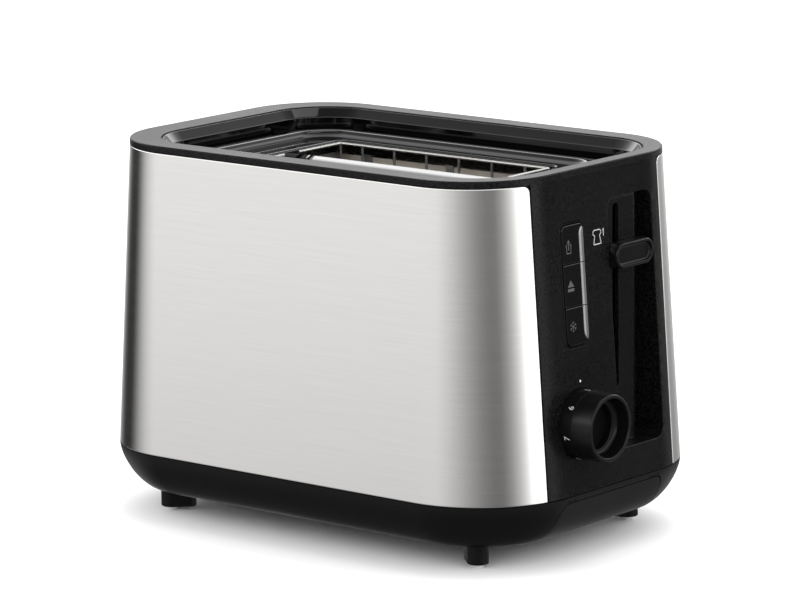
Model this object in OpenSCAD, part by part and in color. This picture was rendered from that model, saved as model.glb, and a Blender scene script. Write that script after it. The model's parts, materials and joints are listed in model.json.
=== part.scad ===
// Two-slice pop-up toaster, built from its separate pieces.
// Frame: +X points to the control end, -Y to the front steel panel, +Z up.
// The origin is at the middle of the whole object's box, on the table.

/* [Body] */
// Height of the top rim above the table
body_h = 200; // [196:1:206]
// Length of the body at the top rim
rim_len = 263.2; // [258:0.2:268]
// Width of the body at the top rim
rim_wid = 173.6; // [170:0.2:178]
// Corner radius of the body at the top rim
rim_corner = 45; // [40:1:50]
// Length of the body where it meets the base
foot_len = 285.4; // [282:0.2:290]
// Width of the body where it meets the base
foot_wid = 188.2; // [184:0.2:192]
// Corner radius of the body where it meets the base
foot_corner = 55; // [50:1:60]
// Half width of the black end panels between the steel panels
panel_half = 52.8; // [51:0.2:54]
// Thickness of the steel side panels
steel_t = 0.8; // [0.6:0.1:1.0]
// Wall thickness of the plastic mouldings
wall = 2.4; // [2:0.1:2.6]

/* [Base and tray] */
// Height of the seam between the base and the body
base_top = 36.3; // [36:0.1:38]
// Height of the flat underside of the base
base_bottom = 12.2; // [11:0.1:13]
// How far the bowl of the base curves in at the bottom
base_inset = 18.5; // [16:0.5:20]
// Squareness of the bowl's curve
base_curve = 1.54; // [1.4:0.02:1.8]
// Distance of the feet from the middle, lengthwise
foot_x = 103.8; // [101:0.2:105]
// Distance of the feet from the middle, crosswise
foot_y = 63.2; // [61:0.2:64]
// Half width of the crumb tray's front
tray_front_half = 44; // [42:0.5:46]

/* [Top well and slots] */
// Width of the rim's upward face along the long sides
rim_face_side = 13.3; // [12:0.1:14]
// Mean width of the rim's upward face at the two ends
rim_face_end = 12.8; // [12:0.1:14]
// Height of the rim's side band
rim_band = 3.5; // [3:0.1:4]
// Depth from the rim to the slot deck
deck_drop = 13; // [12:0.5:14]
// Length of each bread slot
slot_len = 148; // [144:1:150]
// Width of each bread slot
slot_wid = 36; // [35:0.5:36]
// Distance of each slot's centre line from the middle
slot_y = 28; // [28:0.1:28.5]

/* [Controls] */
// Distance the lever goes down
lever_down = 64; // [58:1:64]
// Distance the lever lifts above its rest
lever_up = 15; // [10:1:16]
// Height of the lever knob's middle at rest
lever_z = 151.6; // [151:0.2:153]
// Place of the lever's slot across the panel
lever_y = 15.5; // [15:0.1:16]
// Place of the browning dial across the panel
dial_y = -24.5; // [-26:0.1:-23]
// Height of the browning dial's axis
dial_z = 71.8; // [71:0.1:74]
// Radius of the dial's numbered skirt
dial_skirt_r = 18.8; // [18:0.1:19.2]
// Radius of the dial's grip
dial_grip_r = 17.4; // [16:0.1:17.6]
// Depth of the dial from its skirt's back to its face
dial_depth = 18.2; // [16:0.2:19]
// Middle of the button strip across the panel
button_y = -23.4; // [-24:0.1:-22]
// Height of the button strip's middle
button_z = 142.4; // [141:0.2:143]
// Width of the button strip
button_w = 20.4; // [19:0.2:21]
// Length of the button strip
button_h = 63.6; // [62:0.2:65]

/* [Hidden] */
$fn = 48;

// Colours
black = [0.05, 0.05, 0.055];
gloss = [0.02, 0.02, 0.025];
steel = [0.78, 0.77, 0.75];
zinc = [0.62, 0.64, 0.66];
mica = [0.42, 0.38, 0.33];
copper = [0.72, 0.36, 0.18];

// Body shape
body_top = body_h - rim_band;
slab = 0.02;
gap = 0.2;
far_x = -foot_len / 2;
taper_x = (foot_len - rim_len) / 2 / (body_h - base_top);
function up_body(z) = (z - base_top) / (body_h - base_top);
function body_len(z) = foot_len + (rim_len - foot_len) * up_body(z);
function body_wid(z) = foot_wid + (rim_wid - foot_wid) * up_body(z);
function body_rad(z) = foot_corner + (rim_corner - foot_corner) * up_body(z);
function panel_x(z) = body_len(z) / 2;
panel_bottom = base_top + gap;
panel_top = body_top - gap;

// Base
bowl_steps = 8;
function bowl_in(t) = base_inset * (1 - pow(1 - pow(t, base_curve), 1 / base_curve));
floor_top = base_bottom + wall;
pad_r = 3.2;
pad_h = 3;
post_bottom = 1.8;
post_r = 5.6;
post_tail_r = 3.8;
post_tail = 9.5;
boss_x = 88;
boss_y = 62;
boss_r = 5;
boss_bore_r = 1.6;
gland_z = 27;
gland_r = 6;
gland_bore_r = 3.6;
gland_x = far_x + 2.5;
gland_len = 15;
gland_flange = 10.5;

// Crumb tray
tray_front_z = 33.2;
tray_front_x = 112;
tray_z = 16.4;
tray_h = 8;
tray_half = 41;
tray_back = -112;
tray_nose = 124.5;
tray_t = 0.8;

// Well and deck
deck_z = body_h - deck_drop;
deck_t = 2;
deck_under = deck_z - deck_t;
well_len = rim_len - 2 * rim_face_end;
well_wid = rim_wid - 2 * rim_face_side;
well_r = 33;
well_shift = 4.2;
well_slope = 4.4;
well_fit = 0.3;
bead_len = 199;
bead_wid = 115;
bead_r = 22;
bead_w = 6.5;
bead_h = 3.5;
slot_r = 6;
divider_drop = 3.6;
divider_t = 1.4;
skirt_t = 1.4;
skirt_drop = 4;

// Chassis
chassis_x = 78;
sheet = 1;
frame_z = 37.4;
frame_t = 1;
chassis_z = frame_z + frame_t;
chassis_top = deck_under - 0.4;
chassis_half = 64;
shield_y = 58;
board_y = 50;
board_half = 77.6;
board_z = 52;
board_top = 178.6;
mica_t = 1;
ribbon_t = 0.3;
ribbon_w = 1.6;
ribbon_rows = 9;
ribbon_half = 70;
ribbon_gap = 0.2;

// Bread guards: wire frames that lean in as the carriage goes down
wire_r = 0.75;
guard_pin_z = 56;
guard_top_z = deck_z - 1;
guard_inner_z = deck_under - 4;
guard_off = 12.5;
guard_half = 67;
guard_arm_x = 70.3;
guard_arm_len = 34.4;
guard_pitch = 22;
guard_pin_fit = 0.05;

// Carriage
rod_x = 94;
rod_r = 3;
rod_fit = 0.05;
sleeve_r = 5.5;
sleeve_low = lever_z - 31.6;
sleeve_high = lever_z + 6.4;
bracket_x = 84;
bracket_t = 1.5;
bracket_low = lever_z - 35.6;
rack_z = lever_z - 33.6;
rack_h = 6;
rack_half = 68;
rack_slit = 4.6;
arm_w = 3.6;
arm_h = 8;
keeper_z = lever_z - 10;
keeper_x = 112;
keeper_y = -12;
spring_r = 4.6;
spring_wire = 0.6;
spring_turns = 13;

// Magnet and board
magnet_top = keeper_z - 3.6 - lever_down - 0.4;
magnet_low = magnet_top - 26;
board_x = 112.5;
pcb_t = 1.6;
pcb_face = board_x + pcb_t;
post_short = 1.6;

// Controls
recess_floor = 132;
recess_top = 181.6;
recess_low = 53.2;
recess_left = 7;
recess_mid = 32.5;
recess_right = 44.4;
recess_r = 6;
groove_floor = 123;
lever_slot_w = 4.6;
lever_slot_low = 82;
lever_slot_high = 178;
knob_back = recess_floor + 0.5;
knob_face = 139;
knob_left = 7.5;
knob_right = 39.3;
knob_h = 13.2;
dial_back = 140.7;
dial_face = dial_back + dial_depth;
dial_skirt_t = 6.2;
dial_cup_r = 15;
dial_cup_depth = 8;
dial_step_r = 12;
dial_step_depth = 15;
dial_hub_r = 5.5;
dial_hub_len = 7;
dial_pocket_x = dial_back - 0.5;
spindle_r = 3;
bezel_w = 1.2;
bezel_proud = 0.3;
button_fit = 0.25;
button_gap = 0.5;
button_proud = 0.9;
button_deep = 4;
press_travel = 1.6;
stem_r = 2.4;
switch_top = pcb_face + 7;
trim_w = 3.3;
trim_t = 0.9;
trim_proud = 0.3;
trim_fit = 0.05;
cut_low = button_z - 11.1;
cut_high = button_z + 10.7;

// Everything is moved so that the box of the whole object is centred
frame_dx = -(dial_face + far_x) / 2;

// ---------- helpers ----------

module placed() {
    translate([frame_dx, 0, 0]) children();
}

module block(lo, hi) {
    translate(lo) cube(hi - lo);
}

module rrect(l, w, r) {
    square([l - 2 * r, w], center = true);
    square([l, w - 2 * r], center = true);
    for (sx = [-1, 1], sy = [-1, 1])
        translate([sx * (l / 2 - r), sy * (w / 2 - r)]) circle(r);
}

module slab_at(z, l, w, r) {
    translate([0, 0, z]) linear_extrude(slab) rrect(l, w, r);
}

// Tapered body, drawn in by inset, between two heights
module body_solid(z0, z1, inset) {
    hull() {
        for (z = [z0, z1 - slab])
            slab_at(z, body_len(z) - 2 * inset, body_wid(z) - 2 * inset, body_rad(z) - inset);
    }
}

module body_shell(z0, z1, t) {
    difference() {
        body_solid(z0, z1, 0);
        body_solid(z0 - 1, z1 + 1, t);
    }
}

// Bowl of the base, drawn in by inset
module bowl_solid(inset, low, high) {
    hull() {
        for (i = [0 : bowl_steps]) {
            t = i / bowl_steps;
            z = high + (low - high) * t - (i == 0 ? slab : 0);
            d = bowl_in(t) + inset;
            slab_at(z, foot_len - 2 * d, foot_wid - 2 * d, foot_corner - d);
        }
    }
}

module along_x(x, y, z) {
    translate([x, y, z]) rotate([0, 90, 0]) children();
}

module round_x(x0, x1, y, z, r) {
    along_x(x0, y, z) cylinder(h = x1 - x0, r = r);
}

// Outline in the Y-Z plane, extruded along X
module prism_x(x0, x1, y, z, w, h, r) {
    translate([x0, y, z]) rotate([90, 0, 90]) linear_extrude(x1 - x0) rrect(w, h, r);
}

// Side view of the space between the sloping end panel, moved out by off, and a plane at x
module panel_wedge(off, x) {
    z0 = base_top - 20;
    z1 = body_h + 20;
    translate([0, 100, 0]) rotate([90, 0, 0]) linear_extrude(200)
        polygon([[panel_x(z0) + off, z0], [x, z0], [x, z1], [panel_x(z1) + off, z1]]);
}

module past_panel(off) {
    panel_wedge(off, 200);
}

module behind_panel(off) {
    panel_wedge(off, 0);
}

module at_corners(x, y) {
    for (sx = [-1, 1], sy = [-1, 1])
        translate([sx * x, sy * y, 0]) mirror([sx < 0 ? 1 : 0, 0, 0]) mirror([0, sy < 0 ? 1 : 0, 0]) children();
}

// Screw with a domed head, pointing up
module screw(r, l, head_r, head_h) {
    cylinder(h = l, r = r);
    translate([0, 0, -head_h]) cylinder(h = head_h, r = head_r);
}

// ---------- outer casing ----------

module top_rim() color(black) placed() {
    translate([0, 0, body_top]) linear_extrude(rim_band) difference() {
        rrect(rim_len, rim_wid, rim_corner);
        translate([well_shift, 0]) rrect(well_len, well_wid, well_r);
    }
}

module slot_bezel() color(gloss) placed() {
    top = body_h - 0.6;
    l = well_len - 2 * well_fit;
    w = well_wid - 2 * well_fit;
    r = well_r - well_fit;
    difference() {
        translate([well_shift, 0, deck_under]) linear_extrude(top - deck_under) rrect(l, w, r);
        translate([well_shift, 0, 0]) hull() {
            slab_at(top, l - 1.6, w - 1.6, r - 0.8);
            slab_at(top - well_slope, l - 2 * well_slope, w - 2 * well_slope, r - well_slope);
        }
        translate([well_shift, 0, deck_z]) linear_extrude(body_h)
            rrect(l - 2 * well_slope, w - 2 * well_slope, r - well_slope);
        translate([0, 0, deck_under - 1]) linear_extrude(deck_t + 2)
            rrect(slot_len, 2 * slot_y + slot_wid, slot_r);
    }
    translate([0, 0, deck_z]) linear_extrude(bead_h) difference() {
        rrect(bead_len, bead_wid, bead_r);
        rrect(bead_len - 2 * bead_w, bead_wid - 2 * bead_w, bead_r - bead_w);
    }
    for (s = [-1, 1])
        block_sym(slot_len / 2 - 2, s * (slot_y + slot_wid / 2), skirt_t * s, deck_under - skirt_drop, deck_under);
    divider();
}

// Sunken strip between the slots, hung from the deck by a step at each end
module divider() {
    half = slot_y - slot_wid / 2;
    top = deck_z - divider_drop;
    for (s = [-1, 1])
        block([min(s * (slot_len / 2 - 0.4), s * (slot_len / 2 + divider_t)), -half, top - divider_t],
            [max(s * (slot_len / 2 - 0.4), s * (slot_len / 2 + divider_t)), half, deck_under + 0.4]);
    block([-slot_len / 2, -half, top - divider_t], [slot_len / 2, half, top]);
}

// Thin wall along X at y, thick by t towards its sign
module block_sym(half, y, t, z0, z1) {
    block([-half, min(y, y + t), z0], [half, max(y, y + t), z1]);
}

module end_slice(s) {
    block([min(s * 90, s * 200), -panel_half, base_top - 5], [max(s * 90, s * 200), panel_half, body_h + 5]);
}

module control_end_panel() color(black) placed() {
    difference() {
        union() {
            intersection() {
                body_shell(panel_bottom, panel_top, wall);
                end_slice(1);
            }
            intersection() {
                body_solid(panel_bottom, panel_top, 0);
                recess_block();
            }
        }
        recess_pocket();
        block(
            [groove_floor - 10, lever_y - lever_slot_w / 2, lever_slot_low],
            [200, lever_y + lever_slot_w / 2, lever_slot_high]
        );
        prism_x(100, 200, button_y, button_z, button_w, button_h, 4.5);
        round_x(100, 200, dial_y, dial_z, dial_hub_r + 0.5);
        round_x(dial_pocket_x, 200, dial_y, dial_z, dial_skirt_r + 0.35);
    }
}

module recess_block() {
    block([recess_floor - 2, recess_left - 2, recess_low - 2], [200, recess_mid + 2, recess_top + 2]);
    block([groove_floor - 2, recess_mid - 2, recess_low - 2], [200, recess_right + 2, recess_top + 2]);
}

module recess_pocket() {
    w = recess_right - recess_left;
    y = (recess_right + recess_left) / 2;
    z = (recess_top + recess_low) / 2;
    h = recess_top - recess_low;
    prism_x(recess_floor, 200, y, z, w, h, recess_r);
    gw = recess_right - recess_mid;
    prism_x(groove_floor, 200, recess_right - gw / 2, z, gw, h, gw / 2 - 0.1);
}

module far_end_panel() color(black) placed() {
    intersection() {
        body_shell(panel_bottom, panel_top, wall);
        end_slice(-1);
    }
}

module steel_panel(s) {
    cut = panel_half + gap;
    intersection() {
        body_shell(panel_bottom, panel_top, steel_t);
        block([-200, min(s * cut, s * 200), 0], [200, max(s * cut, s * 200), body_h]);
    }
}

module front_steel_panel() color(steel) placed() steel_panel(-1);

module rear_steel_panel() color(steel) placed() steel_panel(1);

// ---------- base ----------

module foot_outline() {
    a = atan2(foot_y, foot_x);
    tail = [-post_tail * cos(a), -post_tail * sin(a)];
    hull() {
        circle(post_r);
        translate(tail) circle(post_tail_r);
    }
}

module base() color(black) placed() {
    difference() {
        union() {
            difference() {
                bowl_solid(0, base_bottom, base_top);
                bowl_solid(wall, floor_top, base_top + 1);
            }
            at_corners(foot_x, foot_y)
                translate([0, 0, post_bottom]) linear_extrude(floor_top - 0.7 - post_bottom) foot_outline();
            at_corners(boss_x, boss_y)
                translate([0, 0, floor_top - 1]) cylinder(h = frame_z - floor_top + 1, r = boss_r);
        }
        at_corners(foot_x, foot_y) translate([0, 0, -1]) cylinder(h = pad_h + 1.1, r = pad_r + 0.1);
        at_corners(boss_x, boss_y) screw_well();
        block([tray_front_x - 0.6, -tray_front_half - 0.5, 0], [200, tray_front_half + 0.5, tray_front_z + 0.4]);
        round_x(far_x - 5, far_x + 30, 0, gland_z, gland_r + 0.1);
    }
}

// Counterbore and bore for a screw that comes from below
module screw_well() {
    cylinder(h = base_bottom + 6, r = 3.6);
    cylinder(h = body_h, r = boss_bore_r);
}

module foot_pads() color([0.75, 0.75, 0.73]) placed() {
    at_corners(foot_x, foot_y) cylinder(h = pad_h, r = pad_r);
}

module base_screws() color(zinc) placed() {
    at_corners(boss_x, boss_y) translate([0, 0, base_bottom + 5.9]) screw(1.5, 14, 3.2, 2);
}

module cord_gland() color(black) placed() difference() {
    union() {
        round_x(gland_x, gland_x + gland_len, 0, gland_z, gland_r);
        round_x(gland_x + gland_flange, gland_x + gland_len, 0, gland_z, gland_r + 2);
    }
    round_x(gland_x - 1, gland_x + gland_len + 1, 0, gland_z, gland_bore_r);
}

module crumb_tray_pan() color(zinc) placed() difference() {
    block([tray_back, -tray_half, tray_z], [tray_nose, tray_half, tray_z + tray_h]);
    block(
        [tray_back + tray_t, -tray_half + tray_t, tray_z + tray_t],
        [tray_nose - tray_t, tray_half - tray_t, tray_z + tray_h + 1]
    );
}

module crumb_tray_front() color(black) placed() {
    intersection() {
        bowl_solid(0, base_bottom, base_top);
        union() {
            difference() {
                block([tray_front_x, -tray_front_half, 0], [200, tray_front_half, tray_front_z]);
                bowl_solid(wall, floor_top, base_top + 1);
            }
            block([tray_nose, -tray_half + 4, tray_z + 1], [tray_nose + 10, tray_half - 4, tray_z + tray_h + 3]);
        }
    }
}

// ---------- lever and carriage ----------

module lever_knob() color(gloss) placed() {
    y = (knob_left + knob_right) / 2;
    difference() {
        prism_x(knob_back, knob_face, y, lever_z, knob_right - knob_left, knob_h, knob_h / 2 - 0.05);
        prism_x(knob_face - 1, knob_face + 1, y, lever_z, knob_right - knob_left - 4, knob_h - 4, knob_h / 2 - 2.1);
    }
}

module carriage_bracket() color(zinc) placed() {
    difference() {
        union() {
            block([bracket_x, -slot_y - 5, bracket_low], [bracket_x + bracket_t, slot_y + 5, lever_z + 6.4]);
            block([bracket_x, lever_y - 3, sleeve_low], [rod_x, lever_y + 3, sleeve_high]);
            translate([rod_x, lever_y, sleeve_low]) cylinder(h = sleeve_high - sleeve_low, r = sleeve_r);
            block(
                [rod_x, lever_y - arm_w / 2, lever_z - arm_h / 2],
                [knob_back, lever_y + arm_w / 2, lever_z + arm_h / 2]
            );
            block([bracket_x, keeper_y - 10, keeper_z], [keeper_x - 1.5, keeper_y + 10, keeper_z + bracket_t]);
        }
        translate([rod_x, lever_y, 0]) cylinder(h = body_h, r = rod_r + rod_fit);
        along_x(bracket_x - 1, -20, lever_z - 4) cylinder(h = 4, r = 6);
    }
}

module armature_plate() color(zinc) placed() {
    block([90, keeper_y - 8, keeper_z - 3], [keeper_x - 4, keeper_y + 8, keeper_z]);
}

module bread_rack(s) {
    y = s * slot_y;
    teeth = 7;
    block([-rack_half, y - 1, rack_z], [bracket_x, y + 1, rack_z + rack_h]);
    for (i = [0 : teeth - 1]) {
        x = -rack_half + 4 + i * (2 * rack_half - 8) / (teeth - 1);
        block([x - 1, y - 7, rack_z + rack_h], [x + 1, y + 7, rack_z + rack_h + 1]);
        for (e = [-1, 1])
            block([x - 1, y + e * 7 - 0.5, rack_z + rack_h], [x + 1, y + e * 7 + 0.5, rack_z + rack_h + 3]);
    }
}

module bread_rack_front() color(zinc) placed() bread_rack(-1);

module bread_rack_rear() color(zinc) placed() bread_rack(1);

module guide_rod() color(steel) placed() {
    translate([rod_x, lever_y, chassis_z]) cylinder(h = chassis_top - 2 - chassis_z, r = rod_r);
}

function coil_at(a, z0, z1, turns, r) =
    [r * cos(a), r * sin(a), z0 + (z1 - z0) * a / (360 * turns)];

// Round wire wound in a helix about the vertical through the origin
module coil(z0, z1, turns, r, wire) {
    sides = 6;
    steps = turns * 14;
    rings = [
        for (i = [0 : steps]) let (a = 360 * turns * i / steps, c = coil_at(a, z0, z1, turns, r))
            [for (k = [0 : sides - 1]) let (b = 360 * k / sides)
                [c.x + wire * cos(b) * cos(a), c.y + wire * cos(b) * sin(a), c.z + wire * sin(b)]]
    ];
    points = [for (ring = rings) for (p = ring) p];
    quads = [
        for (i = [0 : steps - 1]) for (k = [0 : sides - 1]) let (n = (k + 1) % sides)
            [i * sides + k, i * sides + n, (i + 1) * sides + n, (i + 1) * sides + k]
    ];
    caps = [[for (k = [sides - 1 : -1 : 0]) k], [for (k = [0 : sides - 1]) steps * sides + k]];
    polyhedron(points, concat(quads, caps));
}

module lift_spring() color(steel) placed() {
    translate([rod_x, lever_y, 0])
        coil(chassis_z + 0.8, sleeve_low - 0.8, spring_turns, spring_r, spring_wire);
}

module upper_rod_bracket() color(zinc) placed() {
    z = chassis_top - 2;
    block([chassis_x + sheet, lever_y - 9, z], [rod_x + 6, lever_y + 9, z + 1.2]);
    block([chassis_x + sheet, lever_y - 9, z - 4], [chassis_x + sheet + 1.2, lever_y + 9, z]);
}

// ---------- chassis and heaters ----------

module chassis_frame() color(zinc) placed() {
    difference() {
        block([-chassis_x - 12, -boss_y - 8, frame_z], [118, boss_y + 8, frame_z + frame_t]);
        block([-chassis_x + 6, -board_y + 2, 0], [chassis_x - 6, board_y - 2, body_h]);
        at_corners(boss_x, boss_y) cylinder(h = body_h, r = boss_bore_r + 0.3);
        block([86, -30, 0], [110, -26, body_h]);
    }
}

module chassis_plate(s, slits) {
    x = s * (chassis_x + sheet / 2);
    difference() {
        block([x - sheet / 2, -chassis_half, chassis_z], [x + sheet / 2, chassis_half, chassis_top]);
        if (slits)
            for (y = [-slot_y, slot_y])
                block(
                    [x - 2, y - rack_slit / 2, rack_z - lever_down - 2],
                    [x + 2, y + rack_slit / 2, rack_z + rack_h + lever_up + 2]
                );
        for (sy = [-1, 1], e = [-1, 1])
            round_x(x - 2, x + 2, sy * slot_y + e * guard_off, guard_pin_z, wire_r + guard_pin_fit);
        for (y = [-40, -15, 15, 40], z = [160, 168])
            block([x - 2, y - 7, z], [x + 2, y + 7, z + 3]);
    }
}

module chassis_plate_control() color(zinc) placed() chassis_plate(1, true);

module chassis_plate_far() color(zinc) placed() chassis_plate(-1, false);

module heat_shield(s) {
    y = s * (shield_y + 0.25);
    block([-board_half, y - 0.25, chassis_z + 2], [board_half, y + 0.25, chassis_top]);
    for (z = [70, 110, 150])
        block([-60, min(y, y + s * 2), z], [60, max(y, y + s * 2), z + 3]);
}

module heat_shield_front() color(steel) placed() heat_shield(-1);

module heat_shield_rear() color(steel) placed() heat_shield(1);

module heater_board(y) {
    difference() {
        block([-board_half, y - mica_t / 2, board_z], [board_half, y + mica_t / 2, board_top]);
        for (i = [-3 : 3])
            translate([i * guard_pitch + 5, y + 2, board_top - 6.5]) rotate([90, 0, 0])
                linear_extrude(4) polygon([[-2.2, 2.4], [2.2, 2.4], [0, -1.4]]);
        for (e = [-1, 1], i = [0 : ribbon_rows - 1])
            block(
                [e * ribbon_half - 1.2, y - 2, ribbon_z(i) - 1.4],
                [e * ribbon_half + 1.2, y + 2, ribbon_z(i) + 1.4]
            );
    }
}

function ribbon_z(i) = board_z + 10 + i * (board_top - board_z - 24) / (ribbon_rows - 1);

// Heating ribbon: level runs joined by short risers at alternate ends
module heater_ribbon(y, s) {
    face = y + s * (mica_t / 2 + ribbon_gap + ribbon_t / 2);
    for (i = [0 : ribbon_rows - 1])
        block(
            [-ribbon_half + 2, face - ribbon_t / 2, ribbon_z(i) - ribbon_w / 2],
            [ribbon_half - 2, face + ribbon_t / 2, ribbon_z(i) + ribbon_w / 2]
        );
    for (i = [0 : ribbon_rows - 2]) {
        x = (i % 2 == 0 ? 1 : -1) * (ribbon_half - 2);
        block(
            [min(x, x - sign(x) * ribbon_w), face - ribbon_t / 2, ribbon_z(i)],
            [max(x, x - sign(x) * ribbon_w), face + ribbon_t / 2, ribbon_z(i + 1)]
        );
    }
}

module heater_board_front() color(mica) placed() heater_board(-board_y);

module heater_board_centre() color(mica) placed() heater_board(0);

module heater_board_rear() color(mica) placed() heater_board(board_y);

module heater_ribbon_front() color(copper) placed() heater_ribbon(-board_y, 1);

module heater_ribbon_centre() color(copper) placed() {
    heater_ribbon(0, 1);
    heater_ribbon(0, -1);
}

module heater_ribbon_rear() color(copper) placed() heater_ribbon(board_y, -1);

// Bent clips that hold the top edge of the outer boards
module heater_clips() color(zinc) placed() {
    for (s = [-1, 1], x = [-58, -2, 54]) {
        y = s * board_y;
        difference() {
            block([x - 2.5, y - 1.6, board_top - 5], [x + 2.5, y + 1.6, board_top + 1.2]);
            block([x - 3, y - mica_t / 2 - 0.05, board_top - 6], [x + 3, y + mica_t / 2 + 0.05, board_top + 0.05]);
        }
    }
}

// ---------- bread guards ----------

// Wire along a straight line
module wire(a, b) {
    d = b - a;
    l = norm(d);
    translate(a) rotate([0, acos(d.z / l), atan2(d.y, d.x)]) cylinder(h = l, r = wire_r, $fn = 16);
}

// side: slot, -1 front or 1 rear. out: 1 for the guard away from the middle, -1 for the inner one
module guard(side, out) {
    y = side * (slot_y + out * guard_off);
    half = out > 0 ? guard_arm_x : guard_half;
    top = out > 0 ? guard_top_z : guard_inner_z;
    wire([-chassis_x - 2, y, guard_pin_z], [chassis_x + 2, y, guard_pin_z]);
    wire([-half, y, top], [half, y, top]);
    for (e = [-1, 1]) {
        wire([e * half, y, guard_pin_z], [e * half, y, top]);
        translate([e * half, y, top]) sphere(wire_r, $fn = 16);
    }
    for (i = [-2.5 : 1 : 2.5])
        wire([i * guard_pitch, y, guard_pin_z], [i * guard_pitch, y, top]);
    if (out > 0)
        for (e = [-1, 1])
            wire([e * half, y, top], [e * half, y - side * guard_arm_len, top]);
}

module guard_front_outer() color(steel) placed() guard(-1, 1);

module guard_front_inner() color(steel) placed() guard(-1, -1);

module guard_rear_inner() color(steel) placed() guard(1, -1);

module guard_rear_outer() color(steel) placed() guard(1, 1);

// ---------- electromagnet and electrics ----------

module magnet_core() color([0.35, 0.35, 0.37]) placed() {
    for (x = [92, 105])
        block([x, keeper_y - 6, magnet_low + 6], [x + 4, keeper_y + 6, magnet_top]);
    block([92, keeper_y - 6, magnet_low], [109, keeper_y + 6, magnet_low + 6]);
    block([98.5, keeper_y - 4, magnet_low + 6], [102.5, keeper_y + 4, magnet_top]);
}

module magnet_coil() color(copper) placed() difference() {
    block([96.4, keeper_y - 9, magnet_low + 7], [104.6, keeper_y + 9, magnet_top - 2]);
    block([98.3, keeper_y - 4.2, magnet_low], [102.7, keeper_y + 4.2, magnet_top + 1]);
}

module magnet_bracket() color(zinc) placed() {
    block([chassis_x + sheet, keeper_y - 9, magnet_low - 1.4], [110, keeper_y + 9, magnet_low]);
    block([chassis_x + sheet, keeper_y - 9, chassis_z], [chassis_x + sheet + 1.2, keeper_y + 9, magnet_low - 1.4]);
}

module mains_contacts() color([0.85, 0.85, 0.8]) placed() {
    block([94, -48, chassis_z], [108, -30, chassis_z + 16]);
    for (y = [-45, -39, -33])
        block([95, y - 1.5, chassis_z + 16], [106, y + 1.5, chassis_z + 17]);
}

module circuit_board() color([0.10, 0.32, 0.16]) placed() difference() {
    block([board_x, -52, 44], [pcb_face, 5, 178]);
    round_x(board_x - 1, board_x + 3, dial_y, dial_z, 2);
    for (y = [-48, 1], z = [48, 174])
        round_x(board_x - 1, board_x + 3, y, z, 1.6);
}

module board_posts() color(black) placed() {
    for (y = [-48, 1], z = [48, 174])
        difference() {
            round_x(pcb_face, panel_x(z) - wall - post_short, y, z, 3);
            round_x(pcb_face - 1, pcb_face + 8, y, z, 1.2);
        }
}

module push_switches() color(black) placed() {
    for (z = button_mids) {
        block([pcb_face, button_y - 3 - 3, z - 3], [pcb_face + 4, button_y - 3 + 3, z + 3]);
        round_x(pcb_face + 4, switch_top - press_travel, button_y - 3, z, 1.7);
    }
}

module timer_capacitor() color([0.12, 0.12, 0.35]) placed() round_x(pcb_face, pcb_face + 11, -44, 100, 4);

module relay() color([0.15, 0.3, 0.55]) placed() block([pcb_face, -10, 96], [pcb_face + 10, 2, 116]);

module terminal_block() color([0.85, 0.83, 0.75]) placed() difference() {
    block([-104, -16, chassis_z], [-92, 16, chassis_z + 11]);
    for (y = [-10, 0, 10])
        round_x(-105, -91, y, chassis_z + 6, 2);
}

module browning_pot() color([0.2, 0.35, 0.4]) placed() difference() {
    union() {
        block([pcb_face, dial_y - 8, dial_z - 8], [pcb_face + 8, dial_y + 8, dial_z + 8]);
        round_x(pcb_face + 8, pcb_face + 14, dial_y, dial_z, 4.2);
    }
    round_x(pcb_face + 1, pcb_face + 20, dial_y, dial_z, spindle_r + 0.05);
}

module dial_spindle() color(zinc) placed() {
    round_x(pcb_face + 2, dial_back + 1.2, dial_y, dial_z, spindle_r);
}

// ---------- dial and buttons ----------

module browning_dial() color(gloss) placed() {
    cup = dial_depth - dial_cup_depth;
    step = dial_depth - dial_step_depth;
    difference() {
        along_x(dial_back, dial_y, dial_z) rotate_extrude($fn = 96) polygon([
            [0, -dial_hub_len], [dial_hub_r, -dial_hub_len], [dial_hub_r, 0],
            [dial_skirt_r, 0], [dial_skirt_r - 0.3, dial_skirt_t - 0.4], [dial_grip_r + 0.2, dial_skirt_t],
            [dial_grip_r - 0.4, dial_depth - 0.8], [dial_grip_r - 1, dial_depth], [dial_cup_r + 0.6, dial_depth],
            [dial_cup_r, dial_depth - 0.8], [dial_cup_r - 0.6, cup], [dial_step_r, cup],
            [dial_step_r - 0.3, step], [0, step]
        ]);
        round_x(dial_back - dial_hub_len - 1, dial_back + 1.4, dial_y, dial_z, spindle_r + 0.02);
    }
}

button_mids = [
    (cut_high + button_z + button_h / 2) / 2,
    (cut_high + cut_low) / 2,
    (cut_low + button_z - button_h / 2) / 2
];

module button_bezel() color(gloss) placed() {
    difference() {
        intersection() {
            prism_x(100, 200, button_y, button_z, button_w - button_fit, button_h - button_fit, 4.4);
            block([120, -60, 0], [200, 0, body_h]);
        }
        prism_x(100, 200, button_y, button_z, button_w - 2 * bezel_w, button_h - 2 * bezel_w, 3.4);
        past_panel(bezel_proud);
        behind_panel(-wall);
    }
}

// A push button between two heights of the strip, with its stem
module push_button(z0, z1) {
    w = button_w - 2 * bezel_w - 2 * button_fit;
    h = button_h - 2 * bezel_w - 2 * button_fit;
    z = (z0 + z1) / 2;
    difference() {
        intersection() {
            prism_x(100, 200, button_y, button_z, w, h, 3.2);
            block([100, -60, z0 + button_gap / 2], [200, 0, z1 - button_gap / 2]);
        }
        past_panel(button_proud);
        behind_panel(-button_deep);
        trim_solid(trim_fit, z0 - 1, z1 + 1);
    }
    intersection() {
        round_x(switch_top, 200, button_y - 3, z, stem_r);
        difference() {
            block([100, -60, 0], [200, 0, body_h]);
            past_panel(button_proud - 2);
        }
    }
}

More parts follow.
